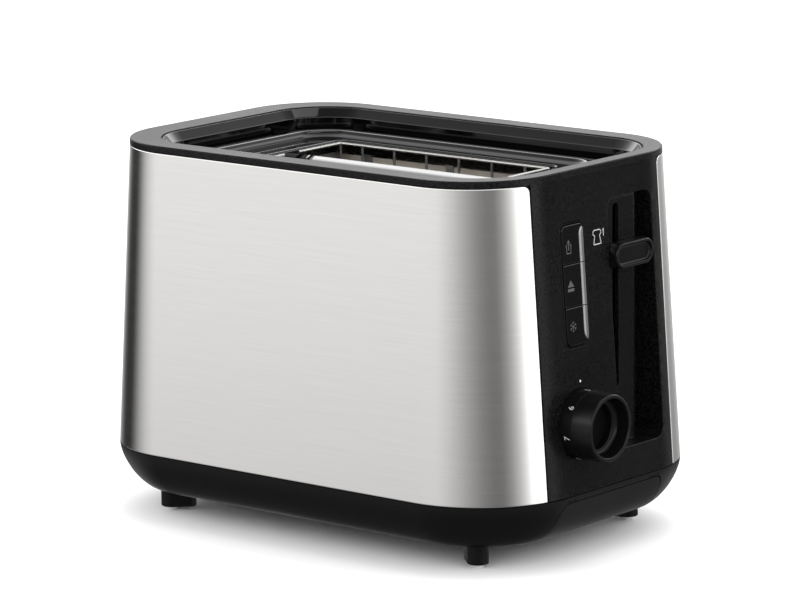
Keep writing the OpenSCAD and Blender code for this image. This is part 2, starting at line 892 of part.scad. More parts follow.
// Bright strip set into the buttons' right edge, pointed at both ends
module trim_solid(grow, z0, z1) {
    half = button_h / 2 - 3.2 + grow;
    y = button_y + button_w / 2 - bezel_w - button_fit - 0.5 - trim_w / 2;
    w = trim_w / 2 + grow;
    intersection() {
        difference() {
            translate([100, y, button_z]) rotate([90, 0, 90]) linear_extrude(100) polygon([
                [-w, -half + 7], [0.6, -half], [w, -half + 3], [w, half - 3], [0.6, half], [-w, half - 7]
            ]);
            past_panel(button_proud + trim_proud);
            behind_panel(button_proud - trim_t - grow);
        }
        block([100, -60, z0], [200, 0, z1]);
    }
}

module button_trim(z0, z1) trim_solid(0, z0 + button_gap / 2, z1 - button_gap / 2);

strip_low = button_z - button_h / 2;
strip_high = button_z + button_h / 2;

module reheat_button() color(gloss) placed() push_button(cut_high, strip_high);

module cancel_button() color(gloss) placed() push_button(cut_low, cut_high);

module defrost_button() color(gloss) placed() push_button(strip_low, cut_low);

module reheat_trim() color(steel) placed() button_trim(cut_high, strip_high);

module cancel_trim() color(steel) placed() button_trim(cut_low, cut_high);

module defrost_trim() color(steel) placed() button_trim(strip_low, cut_low);

// ---------- the model ----------

top_rim();
slot_bezel();
control_end_panel();
far_end_panel();
front_steel_panel();
rear_steel_panel();
base();
foot_pads();
cord_gland();
base_screws();
crumb_tray_pan();
crumb_tray_front();
lever_knob();
carriage_bracket();
armature_plate();
bread_rack_front();
bread_rack_rear();
guide_rod();
lift_spring();
upper_rod_bracket();
chassis_frame();
chassis_plate_control();
chassis_plate_far();
heat_shield_front();
heat_shield_rear();
heater_board_front();
heater_board_centre();
heater_board_rear();
heater_ribbon_front();
heater_ribbon_centre();
heater_ribbon_rear();
heater_clips();
guard_front_outer();
guard_front_inner();
guard_rear_inner();
guard_rear_outer();
magnet_core();
magnet_coil();
magnet_bracket();
mains_contacts();
circuit_board();
push_switches();
timer_capacitor();
relay();
terminal_block();
board_posts();
browning_pot();
dial_spindle();
browning_dial();
button_bezel();
reheat_button();
cancel_button();
defrost_button();
reheat_trim();
cancel_trim();
defrost_trim();
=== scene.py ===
import json
import math

import bpy
import bmesh
from mathutils import Matrix, Vector
from mathutils.geometry import delaunay_2d_cdt


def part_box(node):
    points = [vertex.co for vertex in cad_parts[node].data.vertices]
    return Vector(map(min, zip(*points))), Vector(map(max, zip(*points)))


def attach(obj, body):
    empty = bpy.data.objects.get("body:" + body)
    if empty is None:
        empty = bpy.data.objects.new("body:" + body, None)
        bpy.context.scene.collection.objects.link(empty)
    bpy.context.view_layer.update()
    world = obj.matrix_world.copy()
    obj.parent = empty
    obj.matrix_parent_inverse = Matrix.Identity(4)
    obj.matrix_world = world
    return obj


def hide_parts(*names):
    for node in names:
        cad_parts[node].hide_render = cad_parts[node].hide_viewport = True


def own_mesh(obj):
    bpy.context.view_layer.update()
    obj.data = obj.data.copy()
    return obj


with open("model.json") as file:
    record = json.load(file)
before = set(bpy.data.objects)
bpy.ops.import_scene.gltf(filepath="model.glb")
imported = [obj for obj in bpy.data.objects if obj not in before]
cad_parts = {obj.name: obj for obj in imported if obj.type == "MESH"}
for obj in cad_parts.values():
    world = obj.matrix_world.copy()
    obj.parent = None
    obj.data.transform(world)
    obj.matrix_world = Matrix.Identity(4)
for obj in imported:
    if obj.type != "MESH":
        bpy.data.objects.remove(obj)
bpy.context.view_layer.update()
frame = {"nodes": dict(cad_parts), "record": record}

# Lengths below are millimetres, measured from the middle of the toaster's body. The CAD frame is
# metres, with its origin at the middle of the whole box, so every point is moved by SHIFT_X and scaled.
MM = 0.001


def node_box(node):
    """Lowest and highest corner of a CAD node, in millimetres, in the CAD frame."""
    lo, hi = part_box(node)
    return lo / MM, hi / MM


# ---------- sizes ----------

BASE_LO, BASE_HI = node_box("base")
RIM_LO, RIM_HI = node_box("top_rim")
SHIFT_X = (BASE_LO.x + BASE_HI.x) / 2
BODY_H = RIM_HI.z
BODY_TOP = RIM_LO.z
RIM_L, RIM_W, RIM_R = RIM_HI.x - RIM_LO.x, RIM_HI.y - RIM_LO.y, 45.0
FOOT_L, FOOT_W, FOOT_R = BASE_HI.x - BASE_LO.x, BASE_HI.y - BASE_LO.y, 55.0
BASE_TOP = 36.3
BASE_LOW = 12.2
BOWL_IN, BOWL_CURVE = 18.5, 1.54
PANEL_HALF = 52.8
SEAM = 0.3
ARC = 24

WELL_LO, WELL_HI = node_box("slot_bezel")
WELL_X = (WELL_LO.x + WELL_HI.x) / 2 - SHIFT_X
WELL_L, WELL_W, WELL_R = WELL_HI.x - WELL_LO.x + 0.6, WELL_HI.y - WELL_LO.y + 0.6, 33.0
DECK_Z = 187.0
SLOT_L, SLOT_W, SLOT_Y, SLOT_R = 148.0, 36.0, 28.0, 6.0
DIVIDER_HALF, DIVIDER_TOP, DIVIDER_T, DIVIDER_SAG = 12.5, 183.7, 2.2, 0.8
BEAD_L, BEAD_W, BEAD_R = 199.0, 115.0, 22.0

DIAL_Y, DIAL_Z = -24.5, 71.8
DIAL_BACK = 140.7
DIAL_LONG = 18.2
BUTTON_Y, BUTTON_Z, BUTTON_W, BUTTON_H = -23.4, 142.4, 20.4, 63.6
CUT_LOW, CUT_HIGH = BUTTON_Z - 11.1, BUTTON_Z + 10.7
KNOB_LO, KNOB_HI = node_box("lever_knob")


def mix(a, b, t):
    return a + (b - a) * t


def smooth(t):
    t = min(max(t, 0.0), 1.0)
    return t * t * (3 - 2 * t)


def section(z, inset=0.0):
    """Length, width and corner radius of the tapered body at a height."""
    t = (z - BASE_TOP) / (BODY_H - BASE_TOP)
    return (mix(FOOT_L, RIM_L, t) - 2 * inset, mix(FOOT_W, RIM_W, t) - 2 * inset,
            mix(FOOT_R, RIM_R, t) - inset)


def panel_x(z):
    return section(z)[0] / 2


# ---------- mesh building ----------

BOTH = (0, -1)


class Shell:
    """Points and faces of one piece, in millimetres."""

    def __init__(self):
        self.points, self.faces = [], []

    def add(self, points):
        first = len(self.points)
        self.points += [tuple(p) for p in points]
        return list(range(first, len(self.points)))

    def band(self, a, b, closed=True):
        count = len(a) if closed else len(a) - 1
        for i in range(count):
            j = (i + 1) % len(a)
            self.faces.append((a[i], a[j], b[j], b[i]))

    def loft(self, loops, closed=True, ring=False, ends=()):
        """Joins loops in order; ends lists the loops to close with a face, 0 the first and -1 the last."""
        rows = [self.add(loop) for loop in loops]
        for a, b in zip(rows, rows[1:]):
            self.band(a, b, closed)
        if ring:
            self.band(rows[-1], rows[0], closed)
        self.faces += [tuple(rows[end]) for end in ends]
        return rows


def inside(p, loop):
    x, y, hit = p[0], p[1], False
    for (x1, y1), (x2, y2) in zip(loop, loop[1:] + loop[:1]):
        if (y1 > y) != (y2 > y) and x < (x2 - x1) * (y - y1) / (y2 - y1) + x1:
            hit = not hit
    return hit


def near_loop(p, loop, gap):
    for (x1, y1), (x2, y2) in zip(loop, loop[1:] + loop[:1]):
        dx, dy = x2 - x1, y2 - y1
        t = ((p[0] - x1) * dx + (p[1] - y1) * dy) / max(dx * dx + dy * dy, 1e-12)
        t = min(max(t, 0.0), 1.0)
        if math.hypot(p[0] - x1 - t * dx, p[1] - y1 - t * dy) < gap:
            return True
    return False


def patch(shell, outer, holes, place, grid=(), gap=0.25):
    """Fills a flat outline with holes and lays it on a surface; grid is a list of extra points."""
    loops = [outer] + list(holes)
    flat, edges = [], []
    for loop in loops:
        first = len(flat)
        flat += loop
        edges += [(first + i, first + (i + 1) % len(loop)) for i in range(len(loop))]
    for p in grid:
        if inside(p, outer) and not any(inside(p, h) for h in holes):
            if not any(near_loop(p, loop, gap) for loop in loops):
                flat.append(p)
    made = delaunay_2d_cdt([Vector(p) for p in flat], edges, [], 0, 1e-6)
    ids = shell.add([place(*p) for p in made[0]])
    for face in made[2]:
        mid = sum((made[0][i] for i in face), Vector((0, 0))) / len(face)
        if inside(mid, outer) and not any(inside(mid, h) for h in holes):
            shell.faces.append(tuple(ids[i] for i in face))


def grid_points(us, vs):
    return [(u, v) for u in us for v in vs]


def spread(a, b, n):
    return [mix(a, b, i / n) for i in range(n + 1)]


def arc(x, y, r, start, end, n):
    return [(x + r * math.cos(a), y + r * math.sin(a)) for a in spread(start, end, n)]


def circle(x, y, r, n):
    return arc(x, y, r, 0, 2 * math.pi, n)[:-1]


def fillet(points, radii, n=8):
    """Closed outline with rounded corners, one radius a corner."""
    out = []
    for i, p in enumerate(points):
        p, a, b = Vector(p), Vector(points[i - 1]), Vector(points[(i + 1) % len(points)])
        r = radii[i]
        if r <= 0:
            out.append(tuple(p))
            continue
        da, db = (a - p).normalized(), (b - p).normalized()
        half = da.angle(db) / 2
        run = r / math.tan(half)
        centre = p + (da + db).normalized() * (r / math.sin(half))
        first, last = p + da * run - centre, p + db * run - centre
        sweep = first.angle_signed(last)
        for k in range(n + 1):
            turn = Matrix.Rotation(-sweep * k / n, 2)
            out.append(tuple(centre + turn @ first))
    return out


def box_loop(u0, u1, v0, v1, r, n=8):
    """Rounded rectangle."""
    return fillet([(u0, v0), (u1, v0), (u1, v1), (u0, v1)], [r] * 4, n)


def dense(loop, step):
    """Adds points so that no edge is longer than step."""
    out = []
    for p, q in zip(loop, loop[1:] + loop[:1]):
        n = max(1, math.ceil(math.dist(p, q) / step))
        out += [(mix(p[0], q[0], i / n), mix(p[1], q[1], i / n)) for i in range(n)]
    return out


def grown(loop, d):
    """Outline moved outwards by d (inwards when negative)."""
    area = sum(p[0] * q[1] - q[0] * p[1] for p, q in zip(loop, loop[1:] + loop[:1]))
    sign = 1 if area > 0 else -1
    out = []
    for i, p in enumerate(loop):
        a, b = loop[i - 1], loop[(i + 1) % len(loop)]
        n1 = Vector((p[1] - a[1], a[0] - p[0]))
        n2 = Vector((b[1] - p[1], p[0] - b[0]))
        n1 = n1.normalized() if n1.length > 1e-9 else n2.normalized()
        n2 = n2.normalized() if n2.length > 1e-9 else n1
        m = n1 + n2
        m = m / max(m.length_squared / 2, 0.5)
        out.append((p[0] + sign * d * m.x, p[1] + sign * d * m.y))
    return out


def round_steps(r, n=4):
    """(offset, depth) pairs of a rounded edge, from the face round to the wall."""
    return [(r * (1 - math.sin(a)), r * (1 - math.cos(a))) for a in spread(0, math.pi / 2, n)]


def edge_rows(outline, r, place, n=4, side=1):
    """Rows of a rounded edge, from the face round to the wall; side is -1 where it lies within the outline."""
    return [[place(u, v, down) for u, v in grown(outline, side * off)] for off, down in round_steps(r, n)]


def ring(l, w, r, z, x=0.0):
    """Rounded rectangle round a vertical axis at x, at a height."""
    out = []
    for sx, sy, start in ((1, -1, 270), (1, 1, 0), (-1, 1, 90), (-1, -1, 180)):
        turn = math.radians(start)
        out += arc(x + sx * (l / 2 - r), sy * (w / 2 - r), r, turn, turn + math.pi / 2, ARC)
    return [(u, v, z) for u, v in out]


def lathe(shell, profile, x, y, z, n=96, close=True):
    """Turns (distance along X, radius) pairs round an axis parallel to X."""
    shell.loft([[(x + dx, y - v, z + u) for u, v in circle(0, 0, r, n)] for dx, r in profile],
               ends=BOTH if close else ())


def add_to_scene(name, data):
    obj = bpy.data.objects.new(name, data)
    bpy.context.scene.collection.objects.link(obj)
    return obj


def piece(name, shell, finish, nodes=(), body="root", sharp=38, outward=True):
    """Makes the mesh object, smooth except at sharp edges, and ties it to the CAD frame.

    A piece that replaces CAD nodes hides them.
    """
    mesh = bpy.data.meshes.new(name)
    mesh.from_pydata([((x + SHIFT_X) * MM, y * MM, z * MM) for x, y, z in shell.points], [], shell.faces)
    bm = bmesh.new()
    bm.from_mesh(mesh)
    bmesh.ops.remove_doubles(bm, verts=bm.verts, dist=2e-6)
    if outward:
        bmesh.ops.recalc_face_normals(bm, faces=bm.faces)
    bm.to_mesh(mesh)
    bm.free()
    mesh.shade_smooth()
    mesh.set_sharp_from_angle(angle=math.radians(sharp))
    mesh.materials.append(MATERIALS[finish])
    obj = add_to_scene(name, mesh)
    weighted = obj.modifiers.new("even shading", "WEIGHTED_NORMAL")
    weighted.keep_sharp = True
    if nodes:
        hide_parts(*nodes)
    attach(obj, body)
    return obj


# ---------- materials ----------

def node(tree, kind, **values):
    made = tree.nodes.new(kind)
    for key, value in values.items():
        if key in made.inputs:
            made.inputs[key].default_value = value
        else:
            setattr(made, key, value)
    return made


def noise_on(tree, scale, detail=3.0, stretch=(1, 1, 1), rough=0.5):
    """Noise in object space; scale is per metre and stretch multiplies it by axis."""
    coord = node(tree, "ShaderNodeTexCoord")
    mapping = node(tree, "ShaderNodeMapping", Scale=stretch)
    made = node(tree, "ShaderNodeTexNoise", Scale=scale, Detail=detail, Roughness=rough)
    tree.links.new(coord.outputs["Object"], mapping.inputs["Vector"])
    tree.links.new(mapping.outputs["Vector"], made.inputs["Vector"])
    return made


def spread_to(tree, source, low, high, start=0.3, end=0.7, kind="LINEAR"):
    """Maps start..end, a noise's middle range unless it is given, to low..high."""
    made = node(tree, "ShaderNodeMapRange", interpolation_type=kind,
                **{"From Min": start, "From Max": end, "To Min": low, "To Max": high})
    tree.links.new(source, made.inputs["Value"])
    return made.outputs["Result"]


def finish_material(name, color, rough, metallic=0.0, grain=900.0, depth=0.02, vary=0.15, rough_vary=0.05,
                    stretch=(1, 1, 1), specular=0.5, detail=3.0, grain_rough=0.5, alt=None,
                    streaks=(14.0, (1, 1, 1))):
    """A procedural finish: grain per metre, bump depth in millimetres, colour and gloss variation.

    The colour runs to alt, or else to one darker by vary. The gloss follows streaks: scale and stretch.
    """
    mat = bpy.data.materials.new(name)
    mat.use_nodes = True
    tree = mat.node_tree
    bsdf = tree.nodes["Principled BSDF"]
    bsdf.inputs["Metallic"].default_value = metallic
    bsdf.inputs["Specular IOR Level"].default_value = specular
    fine = noise_on(tree, grain, detail, stretch, grain_rough)
    broad = noise_on(tree, streaks[0], 2.0, streaks[1])
    blend = node(tree, "ShaderNodeMix", data_type="RGBA")
    second = alt or tuple(c * (1 - vary) for c in color)
    blend.inputs[6].default_value = (*color, 1)
    blend.inputs[7].default_value = (*second, 1)
    tree.links.new(spread_to(tree, fine.outputs["Fac"], 0, 1), blend.inputs[0])
    tree.links.new(blend.outputs[2], bsdf.inputs["Base Color"])
    gloss = spread_to(tree, broad.outputs["Fac"], rough - rough_vary, rough + rough_vary)
    tree.links.new(gloss, bsdf.inputs["Roughness"])
    bump = node(tree, "ShaderNodeBump", Strength=1.0, Distance=depth * MM)
    tree.links.new(fine.outputs["Fac"], bump.inputs["Height"])
    tree.links.new(bump.outputs["Normal"], bsdf.inputs["Normal"])
    return mat


# Finish of each material slot and print: colour, roughness, and what differs from a plain fine grain.
FINISHES = {
    # Brushed level: fine lines that change quickly with height and slowly along the panel.
    "brushed_steel": ((0.72075, 0.71145, 0.6975), 0.16,
                      dict(metallic=1.0, grain=1.0, depth=0.0012, stretch=(22, 22, 3600), detail=4.0,
                           grain_rough=0.62, alt=(0.775, 0.765, 0.75), rough_vary=0.016,
                           streaks=(1.0, (7, 7, 700)))),
    "textured_black": ((0.0075, 0.0075, 0.0077), 0.25,
                       dict(grain=1000, depth=0.06, specular=0.12, detail=2.5, alt=(0.0001, 0.0001, 0.0001))),
    "rim_black": ((0.011, 0.011, 0.0114), 0.3,
                  dict(grain=1000, depth=0.07, specular=0.09, detail=2.5, alt=(0.0002, 0.0002, 0.0002))),
    "skirt_black": ((0.003, 0.003, 0.0033), 0.4, dict(grain=3000, depth=0.005, specular=0.06)),
    "base_black": ((0.0038, 0.0038, 0.0042), 0.36, dict(grain=3000, depth=0.008, vary=0.3, specular=0.12)),
    "gloss_black": ((0.001, 0.001, 0.0012), 0.07,
                    dict(grain=400, depth=0.002, vary=0.2, rough_vary=0.02, specular=0.4)),
    "knob_black": ((0.003, 0.003, 0.0034), 0.3, dict(grain=2400, depth=0.005, vary=0.25, specular=0.2)),
    "bright_trim": ((0.33, 0.33, 0.327), 0.35,
                    dict(metallic=1.0, grain=1.0, depth=0.001, stretch=(60, 2600, 60), vary=0.1)),
    "foot_pad": ((0.62, 0.62, 0.6), 0.5, dict(vary=0.1)),
    "zinc_steel": ((0.5, 0.51, 0.52), 0.36, dict(metallic=1.0, grain=180, depth=0.01, vary=0.25)),
    "reflector_steel": ((0.6, 0.58, 0.55), 0.3, dict(metallic=1.0, grain=120, vary=0.3, stretch=(1, 1, 6))),
    "wire_steel": ((0.55, 0.54, 0.52), 0.3, dict(metallic=1.0, grain=600, depth=0.01, vary=0.3)),
    "core_steel": ((0.3, 0.3, 0.31), 0.45,
                   dict(metallic=1.0, grain=1.0, depth=0.01, vary=0.4, stretch=(60, 60, 1800))),
    "mica": ((0.36, 0.326, 0.288), 0.45, dict(grain=160, depth=0.04, detail=6.0, alt=(0.30, 0.27, 0.23))),
    "heater_ribbon": ((0.36, 0.33, 0.31), 0.4, dict(metallic=1.0, grain=500, depth=0.01, vary=0.35)),
    "copper_wire": ((0.6, 0.26, 0.12), 0.3,
                    dict(metallic=1.0, grain=1.0, depth=0.05, vary=0.4, stretch=(200, 200, 2600))),
    "board_green": ((0.02, 0.11, 0.05), 0.35, dict(grain=260, vary=0.4)),
    "component_black": ((0.02, 0.02, 0.022), 0.5, dict(grain=1200)),
    "component_blue": ((0.02, 0.05, 0.22), 0.35, dict(depth=0.01)),
    "terminal_cream": ((0.55, 0.5, 0.38), 0.5, dict(grain=800)),
    "print_white": ((0.36, 0.36, 0.355), 0.5, dict(grain=2000, depth=0.004, vary=0.06)),
    "print_bright": ((0.6, 0.6, 0.59), 0.5, dict(grain=2000, depth=0.004, vary=0.06)),
    "print_grey": ((0.06, 0.06, 0.062), 0.4, dict(grain=2000, depth=0.004, vary=0.1)),
}
MATERIALS = {name: finish_material(name, color, rough, **more)
             for name, (color, rough, more) in FINISHES.items()}


# ---------- rim and well ----------

def build_rim():
    s = Shell()
    top, edge, inner_edge = BODY_H, 0.8, 0.6
    loops = [ring(*section(BODY_TOP, 1.1), BODY_TOP - 6), ring(*section(BODY_TOP, 1.0), BODY_TOP),
             ring(*section(BODY_TOP), BODY_TOP)]
    for off, down in reversed(round_steps(edge, 6)):
        loops.append(ring(*section(top - down, off), top - down))
    rim_face = section(top, edge)
    for t in (0.06, 0.5, 0.94):
        size = [mix(a, b, t) for a, b in zip(rim_face, (WELL_L, WELL_W, WELL_R))]
        loops.append(ring(*size, top, WELL_X * t))
    for off, down in round_steps(inner_edge):
        loops.append(ring(WELL_L + 2 * off, WELL_W + 2 * off, WELL_R + off, top - down, WELL_X))
    loops.append(ring(WELL_L, WELL_W, WELL_R, BODY_TOP - 6, WELL_X))
    s.loft(loops, ring=True)
    piece("rim", s, "rim_black", ["top_rim"])


def add_divider(s):
    """Sunken bar between the two slots, slightly hollow on top, hung at both ends."""
    lip = 0.3
    low, high = DIVIDER_TOP - DIVIDER_T, DIVIDER_TOP - lip
    hollow = [(y, DIVIDER_TOP - DIVIDER_SAG * (1 - (y / DIVIDER_HALF) ** 2))
              for y in spread(DIVIDER_HALF - lip, lip - DIVIDER_HALF, 20)]
    bar = [(-DIVIDER_HALF, low), (DIVIDER_HALF, low), (DIVIDER_HALF, high)] + hollow + [(-DIVIDER_HALF, high)]
    reach = SLOT_L / 2 + 0.2
    s.loft([[(x, y, z) for y, z in bar] for x in spread(-reach, reach, 12)], ends=BOTH)


def build_well():
    """Glossy well: lip, slope, wall, floor, raised bead ring, slot opening and its divider."""
    s = Shell()
    l, w, r = WELL_L - 0.7, WELL_W - 0.7, WELL_R - 0.35
    slope_in, slope_z = 4.4, 195.0
    steps = [(1.2, 195.6), (0.0, 195.6), (0.0, 199.0), (0.15, 199.3), (0.5, 199.4), (0.9, 199.25),
             (slope_in - 0.5, slope_z + 0.35), (slope_in - 0.1, slope_z), (slope_in, slope_z - 0.5),
             (slope_in + 0.1, DECK_Z + 1.6), (slope_in + 0.5, DECK_Z + 0.45), (slope_in + 1.7, DECK_Z)]
    loops = [ring(l - 2 * i, w - 2 * i, r - i, z, WELL_X) for i, z in steps]
    bead_rise = [(0.0, 0.0), (0.15, 0.25), (0.45, 1.6), (1.1, 2.75), (2.1, 3.3), (3.25, 3.5)]
    bead_fall = [(4.4, 3.3), (5.4, 2.75), (6.05, 1.6), (6.35, 0.25), (6.5, 0.0)]
    loops += [ring(BEAD_L - 2 * i, BEAD_W - 2 * i, BEAD_R - i, DECK_Z + h) for i, h in bead_rise + bead_fall]
    s.loft(loops)
    inner = [(p[0], p[1]) for p in loops[-1]]
    lip = 1.2
    half_y = SLOT_Y + SLOT_W / 2
    hole = box_loop(-SLOT_L / 2, SLOT_L / 2, -half_y, half_y, SLOT_R, 10)
    walls = edge_rows(hole, lip, lambda x, y, down: (x, y, DECK_Z - down))
    walls += [[(x, y, z) for x, y in grown(hole, g)] for g, z in ((0, 181.0), (1.4, 181.0), (1.4, 185.0))]
    s.loft(walls)
    patch(s, inner, [grown(hole, lip)], lambda x, y: (x, y, DECK_Z))
    add_divider(s)
    piece("slot_well", s, "gloss_black", ["slot_bezel"], outward=False)


# ---------- steel side panels ----------

def steel_columns(z):
    """Outer points of the sheet at a height: (x, y, normal x, normal y, distance from the sheet's end)."""
    near_edge = [0.0, 0.06, 0.2, 0.45, 0.8, 1.3, 2.0, 3.0, 4.2, 6.0]
    l, w, r = section(z)
    edge_angle = math.acos((PANEL_HALF + SEAM - (w / 2 - r)) / r)
    arc_len = r * edge_angle
    spans = near_edge + spread(7.5, arc_len, 26)
    cols = []
    for d in spans:
        a = edge_angle - d / r
        cols.append((l / 2 - r + r * math.sin(a), w / 2 - r + r * math.cos(a), math.sin(a), math.cos(a), d))
    flat = [(x, w / 2, 0.0, 1.0, arc_len) for x in spread(l / 2 - r, r - l / 2, 12)[1:-1]]
    return cols + flat + [(-x, y, -nx, ny, d) for x, y, nx, ny, d in reversed(cols)]


def rolled(e, roll=0.45):
    """How far a rolled edge draws in at a distance e from the edge."""
    return 0.0 if e >= roll else roll - math.sqrt(max(roll * roll - (roll - e) ** 2, 0.0))


def sheet_rows(side, depth):
    """Rows of one skin of the sheet from its lower edge to its upper one, depth in from the outer skin."""
    corner = 4.0
    low, high = BASE_TOP + SEAM, BODY_TOP - SEAM
    edges = [0.0, 0.05, 0.15, 0.3, 0.45, 0.9]
    levels = [(0, e) for e in edges] + [(t, edges[-1]) for t in spread(0, 1, 16)[1:-1]]
    levels += [(1, e) for e in reversed(edges)]
    distances = [c[4] for c in steel_columns(120.0)]
    rows = []
    for t, e in levels:
        row = []
        for i, d in enumerate(distances):
            near = min(d, corner)
            top = high - corner + math.sqrt(max(corner ** 2 - (corner - near) ** 2, 0.0))
            z = mix(low + e, top - e, t)
            x, y, nx, ny, _ = steel_columns(z)[i]
            draw = rolled(min(d, e)) + depth
            row.append((x - nx * draw, side * (y - ny * draw), z))
        rows.append(row)
    return rows


def steel_panel(name, side, cad_node):
    """Sheet that wraps both corners of one long side, with rolled edges and rounded top corners."""
    s = Shell()
    thick = 0.8
    outer, inner = (s.loft(sheet_rows(side, depth), closed=False) for depth in (0.0, thick))
    s.band(outer[0], inner[0], closed=False)
    s.band(outer[-1], inner[-1], closed=False)
    for end in (0, -1):
        s.band([row[end] for row in outer], [row[end] for row in inner], closed=False)
    piece(name, s, "brushed_steel", [cad_node])


# ---------- end panels ----------

def on_end(y, z, depth=0.0, side=1):
    """Point of the body's end at a place across and up, depth below the surface."""
    l, w, r = section(z)
    cy = w / 2 - r
    if abs(y) <= cy:
        return side * (l / 2 - depth), y, z
    over = min(abs(y) - cy, r)
    nx, ny = math.sqrt(r * r - over * over) / r, over / r * (1 if y > 0 else -1)
    return (side * (l / 2 - r + nx * (r - depth)), (cy if y > 0 else -cy) + ny * (r - depth), z)


RECESS, RECESS_R = (7.0, 44.4, 53.2, 181.6), 6.0
RECESS_FLOOR, GROOVE_FLOOR = 132.0, 123.0
LEVER_SLOT, LEVER_SLOT_R = (13.2, 18.2, 82.0, 178.0), 2.4
PANEL_SHRINK = 0.4
DIAL_SEAT_R = 18.15


def recess_x(y):
    """Floor of the lever recess: level, then a rounded ridge and a deep groove at its right."""
    ridge, wide = 30.4, 6.0
    if y <= ridge:
        return RECESS_FLOOR
    t = (y - ridge) / wide
    if t >= 1:
        return GROOVE_FLOOR
    return mix(RECESS_FLOOR, GROOVE_FLOOR, 1 - math.sqrt(1 - t * t))


def strip_loop(inset, r, n):
    """Outline of the strip of buttons."""
    half_w, half_h = BUTTON_W / 2 - inset, BUTTON_H / 2 - inset
    return box_loop(BUTTON_Y - half_w, BUTTON_Y + half_w, BUTTON_Z - half_h, BUTTON_Z + half_h, r, n)


def panel_outline():
    """Outline of an end panel's flat part, drawn in by its rounded edge."""
    ys = spread(-PANEL_HALF, PANEL_HALF, 40)
    zs = spread(BASE_TOP + SEAM, BODY_TOP, 16)
    loop = ([(y, zs[0]) for y in ys[:-1]] + [(ys[-1], z) for z in zs[:-1]]
            + [(y, zs[-1]) for y in reversed(ys[1:])] + [(ys[0], z) for z in reversed(zs[1:])])
    narrow = (PANEL_HALF - PANEL_SHRINK) / PANEL_HALF
    return [(y * narrow, z + (PANEL_SHRINK if z == zs[0] else 0)) for y, z in loop]


def panel_edges(s, outer, side):
    """Rounded edge of an end panel, and the wall behind it."""
    rows = []
    for off, down in round_steps(PANEL_SHRINK, 3) + [(0.0, 2.4)]:
        wide = (PANEL_HALF - off) / (PANEL_HALF - PANEL_SHRINK)
        grow = PANEL_SHRINK - off
        rows.append([on_end(y * wide, z - (grow if z < 40 else 0), down, side) for y, z in outer])
    s.loft(rows)


def curved_sides():
    """Places across an end panel where it curves into the body's corners."""
    return [sgn * y for sgn in (-1, 1) for y in spread(38, 51.5, 14)]


def build_control_panel():
    s = Shell()
    outer = panel_outline()
    recess = dense(box_loop(*RECESS, RECESS_R, 12), 2.0)
    strip = strip_loop(0.0, 4.5, 8)
    seat = circle(DIAL_Y, DIAL_Z, DIAL_SEAT_R, 96)
    edge, strip_edge, seat_edge = 0.5, 0.3, 0.12
    grid = grid_points(curved_sides(), spread(44, 190, 18))
    grid += grid_points(spread(-36, 5, 5), spread(44, 190, 12))
    patch(s, outer, [grown(recess, edge), grown(strip, strip_edge), grown(seat, seat_edge)], on_end, grid)
    panel_edges(s, outer, 1)

    # button opening and dial seat
    for hole, deep, lip in ((strip, 3.0, strip_edge), (seat, 4.5, seat_edge)):
        s.loft(edge_rows(hole, lip, on_end) + [[on_end(y, z, deep) for y, z in hole]], ends=[-1])
    add_recess(s, recess, edge)
    piece("control_panel", s, "textured_black", ["control_end_panel"], outward=False)


def add_recess(s, recess, edge):
    """Lever recess: wall from the rounded edge to the floor, then the floor with its slot."""
    foot, slot_edge = 1.2, 0.3
    walls = edge_rows(recess, edge, on_end)
    for off, rise in ((0.0, foot), (-foot * 0.3, foot * 0.3), (-foot, 0.0)):
        walls.append([(min(recess_x(y) + rise, panel_x(z) - edge), y, z) for y, z in grown(recess, off)])
    s.loft(walls)
    slot = box_loop(*LEVER_SLOT, LEVER_SLOT_R, 8)
    columns = [10, 24, 28] + spread(30.4, 36.6, 28) + [38, 40, 42]
    patch(s, grown(recess, -foot), [grown(slot, slot_edge)], lambda y, z: (recess_x(y), y, z),
          grid_points(columns, spread(56, 179, 24)))
    walls = edge_rows(slot, slot_edge, lambda y, z, down: (RECESS_FLOOR - down, y, z), 3)
    s.loft(walls + [[(RECESS_FLOOR - 2.4, y, z) for y, z in slot]])


def build_far_panel():
    s = Shell()
    outer = panel_outline()
    grid = grid_points(curved_sides() + spread(-30, 30, 6), spread(44, 190, 12))
    patch(s, outer, [], lambda y, z: on_end(y, z, 0, -1), grid)
    panel_edges(s, outer, -1)
    piece("far_panel", s, "textured_black", ["far_end_panel"])


# ---------- base, tray and feet ----------

TRAY_SIDE = 51.0
CORNER_Y = FOOT_W / 2 - FOOT_R
CORNER_X = FOOT_L / 2 - FOOT_R
TRAY_BACK_X = 112.0
TRAY_TALL = 24.0
BOWL_EASE = 2.1


def bowl(v):
    """(inset, height) of the base's side, from its top (0) to its flat underside (1)."""
    t = 1 - (1 - v) ** BOWL_EASE
    return BOWL_IN * (1 - (1 - t ** BOWL_CURVE) ** (1 / BOWL_CURVE)), mix(BASE_TOP, BASE_LOW, t)


def on_bowl(y, v, depth=0.0):
    """Point of the base's control end at a place across; depth below the surface."""
    d, z = bowl(min(max(v, 0.0), 1.0))
    r = FOOT_R - d - depth
    over = max(abs(y) - CORNER_Y, 0.0)
    return CORNER_X + math.sqrt(max(r * r - over * over, 0)), y, z


def on_tray_end(y, q, depth=0.0):
    """The same, from a place down the bowl counted from 0 to TRAY_TALL."""
    return on_bowl(y, min(q, TRAY_TALL) / TRAY_TALL, depth)


def v_at(z):
    """Place down the bowl at a height."""
    return 1 - (1 - (BASE_TOP - z) / (BASE_TOP - BASE_LOW)) ** (1 / BOWL_EASE)


